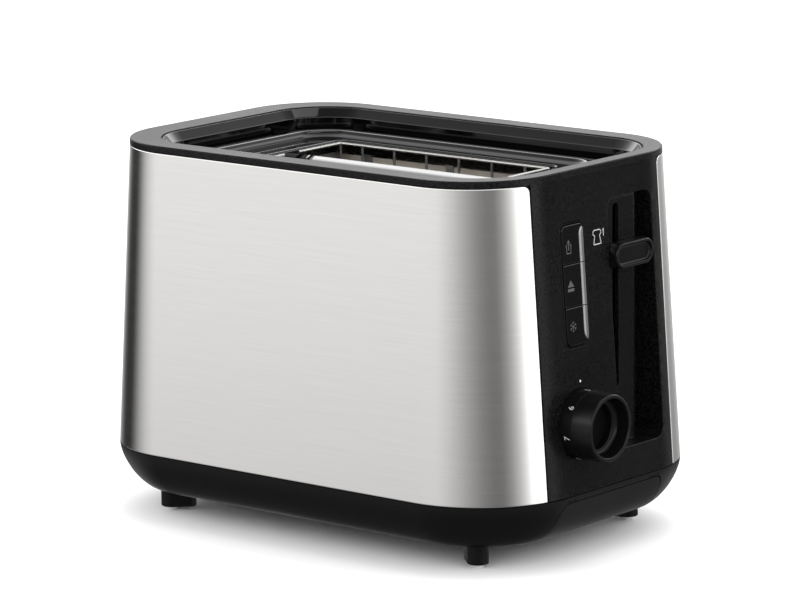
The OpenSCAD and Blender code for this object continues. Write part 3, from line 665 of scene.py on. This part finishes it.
def tray_outline(gap):
    """Tray front's outline in (across, place down the bowl): sides flare outwards towards the bottom."""
    top = v_at(33.1) * TRAY_TALL + gap
    half, flare, corner = 43.6 - gap, 3.4, 6.0
    bend = [(half - corner + corner * math.sin(a), top + corner - corner * math.cos(a))
            for a in spread(0, math.pi / 2, 8)]
    side = [(half + flare * smooth((q - top - 3) / (TRAY_TALL - top - 4)), q)
            for q in spread(top, TRAY_TALL, 12)]
    right = bend + [p for p in side if p[1] > top + corner + 0.3]
    left = [(-y, q) for y, q in reversed(right)]
    bottom = [(y, TRAY_TALL) for y in spread(right[-1][0], left[0][0], 16)[1:-1]]
    top_run = [(y, top) for y in spread(left[-1][0], right[0][0], 16)[1:-1]]
    return right + bottom + left + top_run


def base_loop(inset, z):
    """Level outline of the base, open across the tray end."""
    r = FOOT_R - inset
    start = math.asin((TRAY_SIDE - CORNER_Y) / r)
    out = []
    for sx, sy, a0, a1 in ((1, 1, start, math.pi / 2), (-1, 1, math.pi / 2, math.pi),
                           (-1, -1, math.pi, 1.5 * math.pi), (1, -1, 1.5 * math.pi, 2 * math.pi - start)):
        out += arc(sx * CORNER_X, sy * CORNER_Y, r, a0, a1, ARC)
    return [(x, y, z) for x, y in out]


def base_end_row(inset, z, ys):
    """The same outline's run across the tray end."""
    return [(CORNER_X + math.sqrt((FOOT_R - inset) ** 2 - max(abs(y) - CORNER_Y, 0) ** 2), y, z) for y in ys]


def tray_opening():
    """Edge of the tray's opening, from one foot of it over the top to the other."""
    hole = tray_outline(-0.15)
    foot = max(p[0] for p in hole if abs(p[1] - TRAY_TALL) < 1e-6)
    body = [p for p in hole if p[1] < TRAY_TALL - 1e-6]
    rising = sorted([p for p in body if p[0] > 30], key=lambda p: (-p[1], -p[0]))
    over = sorted([p for p in body if abs(p[0]) <= 30], key=lambda p: -p[0])
    falling = [(-y, q) for y, q in reversed(rising)]
    return [(foot, TRAY_TALL)] + rising + over + falling + [(-foot, TRAY_TALL)]


def build_base():
    s = Shell()
    rows_v = spread(0, 1, 22)
    loops = [(2.4, BASE_TOP + 0.25), (0.5, BASE_TOP + 0.1), (0.15, BASE_TOP + 0.02)]
    rounds = len(loops)
    loops += [bowl(v) for v in rows_v]
    s.loft([base_loop(*p) for p in loops], closed=False)
    ys = spread(-TRAY_SIDE, TRAY_SIDE, 32)
    s.loft([base_end_row(*p, ys) for p in loops[:rounds + 1]], closed=False)

    # tray end: surface round the opening, then the opening's returns
    opening = tray_opening()
    foot = opening[0][0]
    qs = [v * TRAY_TALL for v in rows_v]
    half_way = mix(TRAY_SIDE, foot, 0.5)
    frame_loop = [(TRAY_SIDE, q) for q in qs] + [(half_way, TRAY_TALL)] + opening + [(-half_way, TRAY_TALL)]
    frame_loop += [(-TRAY_SIDE, q) for q in reversed(qs)] + [(y, 0.0) for y in ys[1:-1]]
    beside = [sgn * y for sgn in (-1, 1) for y in (44.5, 45.5, 46.5, 47.5, 48.5, 49.5, 50.3)]
    patch(s, frame_loop, [], on_tray_end,
          grid_points(spread(-50, 50, 44), [0.4, 0.8, 1.2]) + grid_points(beside, qs))
    s.loft([[on_tray_end(y, q) for y, q in opening], [on_tray_end(y, q, 0.5) for y, q in opening],
            [(TRAY_BACK_X - 0.5, y, bowl(q / TRAY_TALL)[1]) for y, q in opening]], closed=False)

    # flat underside, with the tray's notch
    under = [(p[0], p[1]) for p in base_loop(*bowl(1.0))]
    notch = [(on_bowl(-foot, 1.0)[0], -foot), (TRAY_BACK_X - 0.5, -foot), (TRAY_BACK_X - 0.5, foot),
             (on_bowl(foot, 1.0)[0], foot)]
    patch(s, under + notch, [], lambda x, y: (x, y, BASE_LOW))
    for sx, sy in CORNERS:
        foot_post(s, sx, sy)
    piece("base_bowl", s, "base_black", ["base"], outward=False, sharp=50)


FOOT_X, FOOT_Y = 103.8, 63.2
CORNERS = ((-1, -1), (-1, 1), (1, -1), (1, 1))


def foot_post(s, sx, sy):
    """Teardrop post: round at the foot, tapering towards the middle of the base."""
    big, small, tail = 5.6, 3.8, 9.5
    aim = math.atan2(-FOOT_Y * sy, -FOOT_X * sx)
    lean = math.asin((big - small) / tail)
    loop = arc(0, 0, big, math.pi / 2 - lean, 1.5 * math.pi + lean, 20)
    loop += arc(tail, 0, small, lean - math.pi / 2, math.pi / 2 - lean, 12)
    ca, sa = math.cos(aim), math.sin(aim)
    turned = [(x * ca - y * sa + FOOT_X * sx, x * sa + y * ca + FOOT_Y * sy) for x, y in loop]
    low, edge = 1.8, 0.7
    loops = [[(x, y, BASE_LOW + up) for x, y in grown(turned, off)] for off, up in ((0.9, 3.0), (0.6, 0.3))]
    loops.append([(x, y, BASE_LOW - 0.9) for x, y in turned])
    loops += reversed(edge_rows(turned, edge, lambda x, y, down: (x, y, low + down), side=-1))
    s.loft(loops, ends=[-1])


def build_tray_front():
    s = Shell()
    edge = 0.35
    outline = tray_outline(0.12)
    top_face = [(y, min(q, TRAY_TALL)) for y, q in grown(outline, -edge)]
    patch(s, top_face, [], on_tray_end, grid_points(spread(-46, 46, 40), spread(3, 23.6, 18)))
    rows = edge_rows(outline, edge, on_tray_end, 3, -1)
    rows.append([(TRAY_BACK_X, y, bowl(min(q, TRAY_TALL) / TRAY_TALL)[1]) for y, q in outline])
    s.loft(rows, ends=[-1])
    piece("tray_front", s, "base_black", ["crumb_tray_front"], body="tray", outward=False, sharp=50)


def build_pads():
    s = Shell()
    r = 3.2
    profile = [(0.0, r - 0.6), (0.18, r - 0.2), (0.6, r), (3.0, r)]
    for sx, sy in CORNERS:
        s.loft([[(x, y, z) for x, y in circle(FOOT_X * sx, FOOT_Y * sy, q, 32)] for z, q in profile],
               ends=BOTH)
    piece("foot_pads_round", s, "foot_pad", ["foot_pads"])


def build_gland():
    """Moulded bush in the base wall at the far end, with its open bore."""
    s = Shell()
    lo, hi = node_box("cord_gland")
    x, z = lo.x - SHIFT_X, (lo.z + hi.z) / 2
    mouth = [(2.0, 6.6), (0.2, 6.6), (-0.5, 6.1), (-0.8, 5.4), (-0.8, 4.4), (-0.4, 3.8), (0.4, 3.6)]
    back = [(15.0, 3.6), (15.0, 8.0), (10.5, 8.0), (10.5, 6.0), (2.0, 6.0)]
    lathe(s, mouth + back, x, 0.0, z, 48, close=False)
    piece("gland_bush", s, "component_black", ["cord_gland"])


# ---------- controls ----------

SKIRT_R, SKIRT_TAPER, SKIRT_LONG = 17.9, 0.15, 6.2


def build_dial():
    """Browning dial: turned grip with a cup in its face, and the skirt that carries the numbers."""
    s = Shell()
    grip, cup, step = 17.45, 15.0, 11.8
    face, edge = DIAL_LONG, SKIRT_LONG
    profile = [(edge - 0.3, 0.6), (edge - 0.3, grip), (edge + 0.25, grip), (face - 1.0, grip - 0.2),
               (face - 0.4, grip - 0.35), (face - 0.1, grip - 0.65), (face, grip - 1.05), (face, cup + 0.75),
               (face - 0.12, cup + 0.35), (face - 0.5, cup), (face - 6.2, cup - 0.25), (face - 7.2, cup - 0.6),
               (face - 7.9, cup - 1.3), (face - 8.2, cup - 2.3), (face - 8.2, step + 0.5),
               (face - 8.35, step + 0.16), (face - 8.8, step), (face - 11.6, step - 0.2)]
    floor_x, floor_r, corner = face - 11.6, step - 0.2, 2.2
    floor = [(floor_x - corner * math.sin(a), floor_r - corner * (1 - math.cos(a)))
             for a in spread(0, math.pi / 2, 6)]
    for turned in (profile, floor + [(floor_x - corner, 0.01)]):
        lathe(s, turned, DIAL_BACK, DIAL_Y, DIAL_Z, 128, close=False)
    piece("dial", s, "knob_black", ["browning_dial"], body="dial", sharp=50, outward=False)
    s = Shell()
    lathe(s, [(-2.6, 0.6), (-2.6, SKIRT_R - 0.4), (-2.2, SKIRT_R), (0.0, SKIRT_R),
              (edge - 0.5, SKIRT_R - SKIRT_TAPER), (edge - 0.15, SKIRT_R - SKIRT_TAPER - 0.15),
              (edge, SKIRT_R - SKIRT_TAPER - 0.35), (edge, grip - 1.0)], DIAL_BACK, DIAL_Y, DIAL_Z, 128)
    piece("dial_skirt", s, "skirt_black", body="dial", sharp=50)


def digit_points(text, tall):
    """A digit in a plain typeface, centred: its (right, up) points and its triangles."""
    curve = bpy.data.curves.new("digit", "FONT")
    curve.body, curve.size, curve.offset = text, tall * 1.38, tall * 0.012
    curve.align_x, curve.align_y = "CENTER", "CENTER"
    holder = bpy.data.objects.new("digit", curve)
    mesh = bpy.data.meshes.new_from_object(holder)
    mesh.calc_loop_triangles()
    points = [(v.co.x, v.co.y) for v in mesh.vertices]
    faces = [tuple(t.vertices) for t in mesh.loop_triangles]
    bpy.data.objects.remove(holder)
    bpy.data.curves.remove(curve)
    bpy.data.meshes.remove(mesh)
    ys = [p[1] for p in points]
    mid = (min(ys) + max(ys)) / 2
    return [(x, y - mid) for x, y in points], faces


def build_dial_numbers():
    """Seven numbers printed round the dial's skirt; five is at the top, at rest."""
    s = Shell()
    tall, count, at_top, along, lift = 3.3, 7, 5, 3.7, 0.04
    for k in range(1, count + 1):
        points, faces = digit_points(str(k), tall)
        turn = 2 * math.pi * (k - at_top) / count
        made = []
        for u, v in points:
            x = along - v
            r = SKIRT_R - SKIRT_TAPER * x / (SKIRT_LONG - 0.6) + lift
            a = turn - u / r
            made.append((DIAL_BACK + x, DIAL_Y - r * math.sin(a), DIAL_Z + r * math.cos(a)))
        ids = s.add(made)
        s.faces += [tuple(ids[i] for i in f) for f in faces]
    piece("dial_numbers", s, "print_white", body="dial", outward=False)


def build_knob():
    """Lever knob: square at the panel, rounding to a capsule with a dished face."""
    s = Shell()
    y0, y1, z0, z1 = KNOB_LO.y, KNOB_HI.y, KNOB_LO.z, KNOB_HI.z
    face, back = KNOB_HI.x - SHIFT_X, KNOB_LO.x - SHIFT_X
    full, square = (z1 - z0) / 2 - 0.05, 3.0
    outline = box_loop(y0, y1, z0, z1, full, 16)
    edge = 0.9
    dish = ((1.4, 0.0), (1.6, 0.05), (1.75, 0.3), (1.85, 0.8), (2.0, 1.2), (2.3, 1.5), (3.0, 1.65))
    rows = []
    for t in spread(0, 1, 6):
        loop = box_loop(y0, y1, z0, z1, mix(square, full, smooth(t)), 16)
        rows.append([(mix(back, face - edge - 0.3, t), y, z) for y, z in loop])
    rows += reversed(edge_rows(outline, edge, lambda y, z, down: (face - down, y, z), 5, -1))
    for inset, down in dish:
        rows.append([(face - down, y, z) for y, z in grown(outline, -inset)])
    s.loft(rows, ends=BOTH)
    piece("lever_knob_grip", s, "knob_black", ["lever_knob"], body="carriage", sharp=60)


BUTTON_SIDE = 1.4
TRIM_HALF = 1.85
TRIM_END = BUTTON_H / 2 - 3.2
TRIM_Y = BUTTON_Y + BUTTON_W / 2 - BUTTON_SIDE - TRIM_HALF
STRIP_LOW, STRIP_HIGH = BUTTON_Z - BUTTON_H / 2 + 1.5, BUTTON_Z + BUTTON_H / 2 - 1.5
# The three keys from the top: name, and where each starts and ends.
KEYS = (("reheat", CUT_HIGH, STRIP_HIGH), ("cancel", CUT_LOW, CUT_HIGH), ("defrost", STRIP_LOW, CUT_LOW))


def button_height(y):
    """Crown of the push buttons: level, rolling down to their left edge."""
    left = BUTTON_Y - BUTTON_W / 2 + BUTTON_SIDE
    t = min(max((y - left) / 0.9, 0.0), 1.0)
    return 0.2 + 0.25 * math.sqrt(max(1 - (1 - t) ** 2.2, 0))


def build_bezel():
    s = Shell()
    fit = 0.15
    outer = strip_loop(fit, 4.4, 10)
    rows = [[(panel_x(z) - 2.6, y, z) for y, z in outer]]
    lip = ((0.0, -0.15), (0.1, 0.0), (0.3, 0.03), (0.9, 0.03), (1.05, -0.1), (1.1, -0.3), (1.1, -2.6))
    for off, up in lip:
        rows.append([(panel_x(z) + up, y, z) for y, z in grown(outer, -off)])
    s.loft(rows)
    piece("button_frame", s, "gloss_black", ["button_bezel"], outward=False)


def build_button(key, z0, z1):
    """Push button, rounded only at the ends of the strip of three."""
    s = Shell()
    half = BUTTON_W / 2 - 1.5
    gap, small, big, edge = 0.22, 0.15, 3.2, 0.3
    round_low, round_high = z0 == STRIP_LOW, z1 == STRIP_HIGH
    y0, y1 = BUTTON_Y - half, BUTTON_Y + half
    lo = z0 + (0 if round_low else gap)
    hi = z1 - (0 if round_high else gap)
    radii = [big if round_low else small] * 2 + [big if round_high else small] * 2
    outline = dense(fillet([(y0, lo), (y1, lo), (y1, hi), (y0, hi)], radii, 8), 1.5)
    columns = spread(y0 + 0.4, y0 + 4.2, 14) + spread(y0 + 5.5, y1 - 0.6, 6)
    patch(s, grown(outline, -edge), [], lambda y, z: (panel_x(z) + button_height(y), y, z),
          grid_points(columns, spread(lo, hi, 10)))
    rows = edge_rows(outline, edge, lambda y, z, down: (panel_x(z) + button_height(y) - down, y, z), 3, -1)
    rows.append([(panel_x(z) - 4.0, y, z) for y, z in outline])
    s.loft(rows, ends=[-1])
    piece(f"{key}_key_cap", s, "gloss_black", [f"{key}_button"], body=f"{key}_key", outward=False)


def trim_sides(z):
    """Left and right edge of the bright inlays at a height from the strip's middle; they end in a point."""
    def drawn_in(side, run):
        t = (abs(z) - TRIM_END + run) / run
        return side if t < 0 else mix(side, 0.9, 1 - math.sqrt(max(1 - min(t, 1.0) ** 2, 0.0)))

    return drawn_in(-TRIM_HALF, 5), drawn_in(TRIM_HALF, 3)


def build_trim(key, z0, z1):
    """Half-round bright inlay; the strip of three is pointed at its two ends."""
    s = Shell()
    rise, gap, tip = 0.55, 0.2, TRIM_END - 0.02
    lo, hi = max(z0 + gap - BUTTON_Z, -tip), min(z1 - gap - BUTTON_Z, tip)
    fine = spread(-tip, 8 - TRIM_END, 14) + spread(TRIM_END - 8, tip, 14)
    rows = []
    for h in sorted(set(spread(lo, hi, 10) + [h for h in fine if lo < h < hi])):
        left, right = trim_sides(h)
        mid, wide = (left + right) / 2, (right - left) / 2
        row = []
        for a in spread(-math.pi / 2, math.pi / 2, 14):
            lift = 0.35 + rise * math.cos(a) * min(1, wide / TRIM_HALF + 0.15)
            row.append((panel_x(h + BUTTON_Z) + lift, TRIM_Y + mid + wide * math.sin(a), h + BUTTON_Z))
        rows.append(row)
    s.loft(rows, closed=False, ends=BOTH)
    piece(f"{key}_inlay", s, "bright_trim", [f"{key}_trim"], body=f"{key}_key",
          sharp=60, outward=False)


# ---------- printed icons ----------

def stroke(s, line, wide, place, closed=False):
    """Flat line of even width through points, laid on a surface."""
    count = len(line)
    left, right = [], []
    for i, p in enumerate(line):
        a = line[i - 1] if (i or closed) else p
        b = line[(i + 1) % count] if (i < count - 1 or closed) else p
        n1 = Vector((p[1] - a[1], a[0] - p[0])).normalized() if a != p else None
        n2 = Vector((b[1] - p[1], p[0] - b[0])).normalized() if b != p else None
        n1, n2 = n1 or n2, n2 or n1
        m = n1 + n2
        m = m / max(m.length_squared / 2, 0.6) * wide / 2
        left.append((p[0] - m.x, p[1] - m.y))
        right.append((p[0] + m.x, p[1] + m.y))
    a, b = s.add([place(*p) for p in left]), s.add([place(*p) for p in right])
    s.band(a, b, closed)


def blob(s, loop, place):
    """Flat filled outline, laid on a surface."""
    s.faces.append(tuple(s.add([place(*p) for p in loop])))


def bread_line(w, h):
    """Outline of a slice of bread, centred."""
    right = [(0.45, -0.5, 0.04), (0.3, 0.1, 0.06), (0.5, 0.24, 0.12), (0.5, 0.5, 0.24)]
    points = [(-0.45, -0.5, 0.04)] + right + [(-x, y, k) for x, y, k in reversed(right[1:])]
    return fillet([(x * w, y * h) for x, y, k in points], [w * k for x, y, k in points], 5)


ICON_Y = -27.0
PRINT_LIFT = 0.03


def on_panel(y0, z0):
    """Lays a print on the panel, centred at a place."""
    return lambda u, v: (panel_x(z0 + v) + PRINT_LIFT, y0 + u, z0 + v)


def on_button(y0, z0):
    """The same, on a push button."""
    return lambda u, v: (panel_x(z0 + v) + button_height(y0 + u) + PRINT_LIFT, y0 + u, z0 + v)


def print_panel():
    """Slice of bread with a small up arrow, and the dial's index dot."""
    s = Shell()
    stroke(s, bread_line(6.8, 7.2), 0.55, on_panel(-2.6, 163.4), closed=True)
    lay = on_panel(2.7, 165.2)
    stroke(s, [(0, -1.9), (0, 1.5)], 0.6, lay)
    blob(s, [(-0.8, 1.0), (0.8, 1.0), (0, 2.2)], lay)
    piece("panel_print", s, "print_white", outward=False)
    s = Shell()
    blob(s, circle(0, 0, 0.65, 20), on_panel(-23.4, 93.4))
    piece("dial_index", s, "print_bright", outward=False)


def print_reheat(s, lay):
    """Bread with an arrow rising out of it."""
    right = [(1.7, -3.1), (1.7, -0.3), (2.1, 0.4), (1.9, 1.1), (1.0, 1.1)]
    stroke(s, [(-u, v) for u, v in reversed(right)] + right, 0.5, lay)
    stroke(s, [(0, -1.6), (0, 2.2)], 0.6, lay)
    blob(s, [(-1.3, 1.9), (1.3, 1.9), (0, 3.8)], lay)


def print_cancel(s, lay):
    """Triangle over a bar."""
    blob(s, [(-2.6, -0.5), (2.6, -0.5), (0, 3.0)], lay)
    blob(s, [(-2.6, -2.8), (2.6, -2.8), (2.6, -1.3), (-2.6, -1.3)], lay)


def print_defrost(s, lay):
    """Snowflake."""
    long, inner, outer, half_turn = 2.7, 1.6, 2.5, 0.3025
    for k in range(3):
        a = math.pi / 2 + k * math.pi / 3
        stroke(s, [(sgn * long * math.cos(a), sgn * long * math.sin(a)) for sgn in (-1, 1)], 0.34, lay)
        for sgn in (-1, 1):
            tip = [(sgn * q * math.cos(a + turn), sgn * q * math.sin(a + turn))
                   for q, turn in ((outer, -half_turn), (inner, 0.0), (outer, half_turn))]
            stroke(s, tip, 0.28, lay)


def build_icons():
    print_panel()
    for key, draw, z in (("reheat", print_reheat, 161.8), ("cancel", print_cancel, 142.2),
                         ("defrost", print_defrost, 121.6)):
        s = Shell()
        draw(s, on_button(ICON_Y, z))
        piece(f"{key}_print", s, "print_grey", body=f"{key}_key", outward=False)


# ---------- inside ----------

def build_spring():
    """Return spring on the guide rod."""
    s = Shell()
    lo, hi = node_box("lift_spring")
    cx, cy = (lo.x + hi.x) / 2 - SHIFT_X, (lo.y + hi.y) / 2
    wire, turns, sides = 0.6, 13, 8
    r = (hi.x - lo.x) / 2 - wire
    z0, z1 = lo.z + wire, hi.z - wire
    steps = turns * 24
    loops = []
    for k in range(steps + 1):
        a = 2 * math.pi * turns * k / steps
        z = mix(z0, z1, k / steps)
        out = Vector((math.cos(a), math.sin(a), 0))
        centre = Vector((cx, cy, z)) + out * r
        loops.append([tuple(centre + out * u + Vector((0, 0, v))) for u, v in circle(0, 0, wire, sides)])
    s.loft(loops, ends=BOTH)
    made = piece("return_spring", s, "wire_steel", ["lift_spring"])
    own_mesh(made)


def paint_frame():
    """Every carried-over CAD node takes the procedural finish of its record slot."""
    for part in frame["record"]["subparts"]:
        target = frame["nodes"].get(part["node"])
        material = MATERIALS.get(part["material_slot"])
        if target is not None and material is not None:
            target.data.materials.clear()
            target.data.materials.append(material)


# ---------- studio ----------

CAMERA_TURN, CAMERA_DOWN, CAMERA_ROLL = 39.42, 11.22, -0.68
CAMERA_FAR, CAMERA_LENS = 2440.0, 209.75
CAMERA_TARGET = (3.0, 0.0, 115.3)


def build_camera():
    turn, down, roll = (math.radians(a) for a in (CAMERA_TURN, CAMERA_DOWN, CAMERA_ROLL))
    look = Vector((-math.sin(turn) * math.cos(down), math.cos(turn) * math.cos(down), -math.sin(down)))
    level = Vector((math.cos(turn), math.sin(turn), 0))
    up = level.cross(look)
    right = level * math.cos(roll) + up * math.sin(roll)
    up = -level * math.sin(roll) + up * math.cos(roll)
    data = bpy.data.cameras.new("camera")
    data.lens, data.sensor_width = CAMERA_LENS, 36.0
    data.clip_start, data.clip_end = 0.1, 50.0
    cam = add_to_scene("camera", data)
    target = (Vector(CAMERA_TARGET) + Vector((SHIFT_X, 0, 0))) * MM
    turned = Matrix((right, up, -look)).transposed().to_4x4()
    cam.matrix_world = Matrix.Translation(target - look * (CAMERA_FAR * MM)) @ turned
    bpy.context.scene.camera = cam


# Brightness of the studio seen level, by direction: degrees from -Y towards +X.
AROUND = ((-180, 0.5), (-165, 0.75), (-150, 1.3), (-134, 1.4), (-124, 0.85), (-113, 0.33), (-104, 0.1),
          (-96, 0.05), (-84, 0.05), (-76, 0.25), (-66, 0.65), (-56, 0.95), (-45, 1.15), (-10, 1.08),
          (1, 0.92), (12, 0.74), (26, 0.5), (40, 0.31), (52, 0.22), (62, 0.22), (72, 0.42), (82, 0.8),
          (90, 1.3), (98, 2.4), (119, 2.4), (128, 1.2), (134, 0.18), (150, 0.18), (158, 0.7), (168, 0.8),
          (176, 0.5), (180, 0.5))
# Brightness above the horizon: (sine of the height, level).
ABOVE = ((0.0, 1.0), (0.08, 0.9), (0.15, 0.65), (0.22, 0.9), (0.3, 3.6),
         (0.4, 3.4), (0.5, 1.7), (0.6, 1.0), (0.85, 0.4), (1.0, 0.3))
# Brightness a little below the horizon, which the panels show when they are seen from higher up.
BELOW = 0.6


def build_world():
    """Studio light as a world: a level pattern of light and dark, a bright band above it, a dim floor."""
    world = bpy.data.worlds.new("studio")
    bpy.context.scene.world = world
    world.use_nodes = True
    tree = world.node_tree
    back = tree.nodes["Background"]
    coord = node(tree, "ShaderNodeTexCoord")
    split = node(tree, "ShaderNodeSeparateXYZ")
    tree.links.new(coord.outputs["Generated"], split.inputs[0])

    def math_node(kind, a, b):
        made = node(tree, "ShaderNodeMath", operation=kind)
        for i, v in enumerate((a, b)):
            if isinstance(v, (int, float)):
                made.inputs[i].default_value = v
            else:
                tree.links.new(v, made.inputs[i])
        return made.outputs[0]

    def ramp_of(value, stops, peak):
        """Straight lines through (place, level) pairs; place runs from 0 to 1."""
        ramp = node(tree, "ShaderNodeValToRGB")
        ramp.color_ramp.interpolation = "LINEAR"
        made = ramp.color_ramp.elements
        made.remove(made[-1])
        for i, (at, level) in enumerate(stops):
            stop = made[0] if i == 0 else made.new(at)
            stop.position = at
            stop.color = (level / peak, level / peak, level / peak, 1)
        tree.links.new(value, ramp.inputs[0])
        return math_node("MULTIPLY", ramp.outputs["Color"], peak)

    angle = math_node("ARCTAN2", split.outputs["X"], math_node("MULTIPLY", split.outputs["Y"], -1.0))
    place = math_node("ADD", math_node("DIVIDE", angle, 2 * math.pi), 0.5)
    around = ramp_of(place, [(deg / 360 + 0.5, level) for deg, level in AROUND], 3.0)
    sky = ramp_of(split.outputs["Z"], ABOVE, 4.0)

    def ease(start, end, low, high):
        return spread_to(tree, split.outputs["Z"], low, high, start, end, "SMOOTHSTEP")

    level_part = math_node("MULTIPLY", around, ease(-0.35, -0.05, 0.18, 1.0))
    deep = ease(-0.4, -0.24, 1.0, 0.0)
    under = math_node("ADD", math_node("MULTIPLY", level_part, math_node("SUBTRACT", 1.0, deep)),
                      math_node("MULTIPLY", deep, ease(-0.68, -0.48, 0.15, BELOW)))
    above = ease(0.02, 0.12, 0.0, 1.0)
    low_part = math_node("MULTIPLY", under, math_node("SUBTRACT", 1.0, above))
    total = math_node("ADD", low_part, math_node("MULTIPLY", sky, above))
    tree.links.new(total, back.inputs["Strength"])
    back.inputs["Color"].default_value = (1.0, 1.0, 1.0, 1)


def build_floor():
    """Wide pale floor with a faint mottle. Polished faces see the studio past it, not the floor."""
    half = 14.0
    corners = [(sx * half, sy * half, 0.0) for sx, sy in ((-1, -1), (1, -1), (1, 1), (-1, 1))]
    mesh = bpy.data.meshes.new("floor")
    mesh.from_pydata(corners, [], [(0, 1, 2, 3)])
    mesh.materials.append(finish_material("floor_paint", (0.9, 0.9, 0.9), 0.8, grain=3.0, depth=0.001,
                                          vary=0.01, specular=0.0))
    floor = add_to_scene("floor", mesh)
    floor.visible_glossy = False


def add_lamp(name, kind, place, glossy=True, **values):
    """Lamp above the toaster, aimed at the middle of it; polished faces do not see it unless glossy."""
    data = bpy.data.lights.new(name, kind)
    for key, value in values.items():
        setattr(data, key, value)
    lamp = add_to_scene(name, data)
    lamp.location = place
    lamp.rotation_mode = "QUATERNION"
    lamp.rotation_quaternion = (Vector((0, 0, 0.1)) - Vector(place)).to_track_quat("-Z", "Y")
    lamp.visible_glossy = glossy


def build_studio():
    build_camera()
    build_world()
    build_floor()
    add_lamp("overhead", "AREA", (0.0, 0.3, 1.6), shape="RECTANGLE", size=1.6, size_y=1.0, energy=10.0)
    add_lamp("soft sun", "SUN", (0.0, 0.0, 2.0), glossy=False, energy=1.7, angle=math.radians(120.0))
    bpy.context.scene.view_settings.view_transform = "Standard"


# ---------- the model ----------

paint_frame()
build_rim()
build_well()
steel_panel("steel_front", -1, "front_steel_panel")
steel_panel("steel_rear", 1, "rear_steel_panel")
build_control_panel()
build_far_panel()
build_base()
build_tray_front()
build_pads()
build_gland()
build_dial()
build_dial_numbers()
build_knob()
build_bezel()
for key_row in KEYS:
    build_button(*key_row)
for key_row in KEYS:
    build_trim(*key_row)
build_icons()
build_spring()
build_studio()
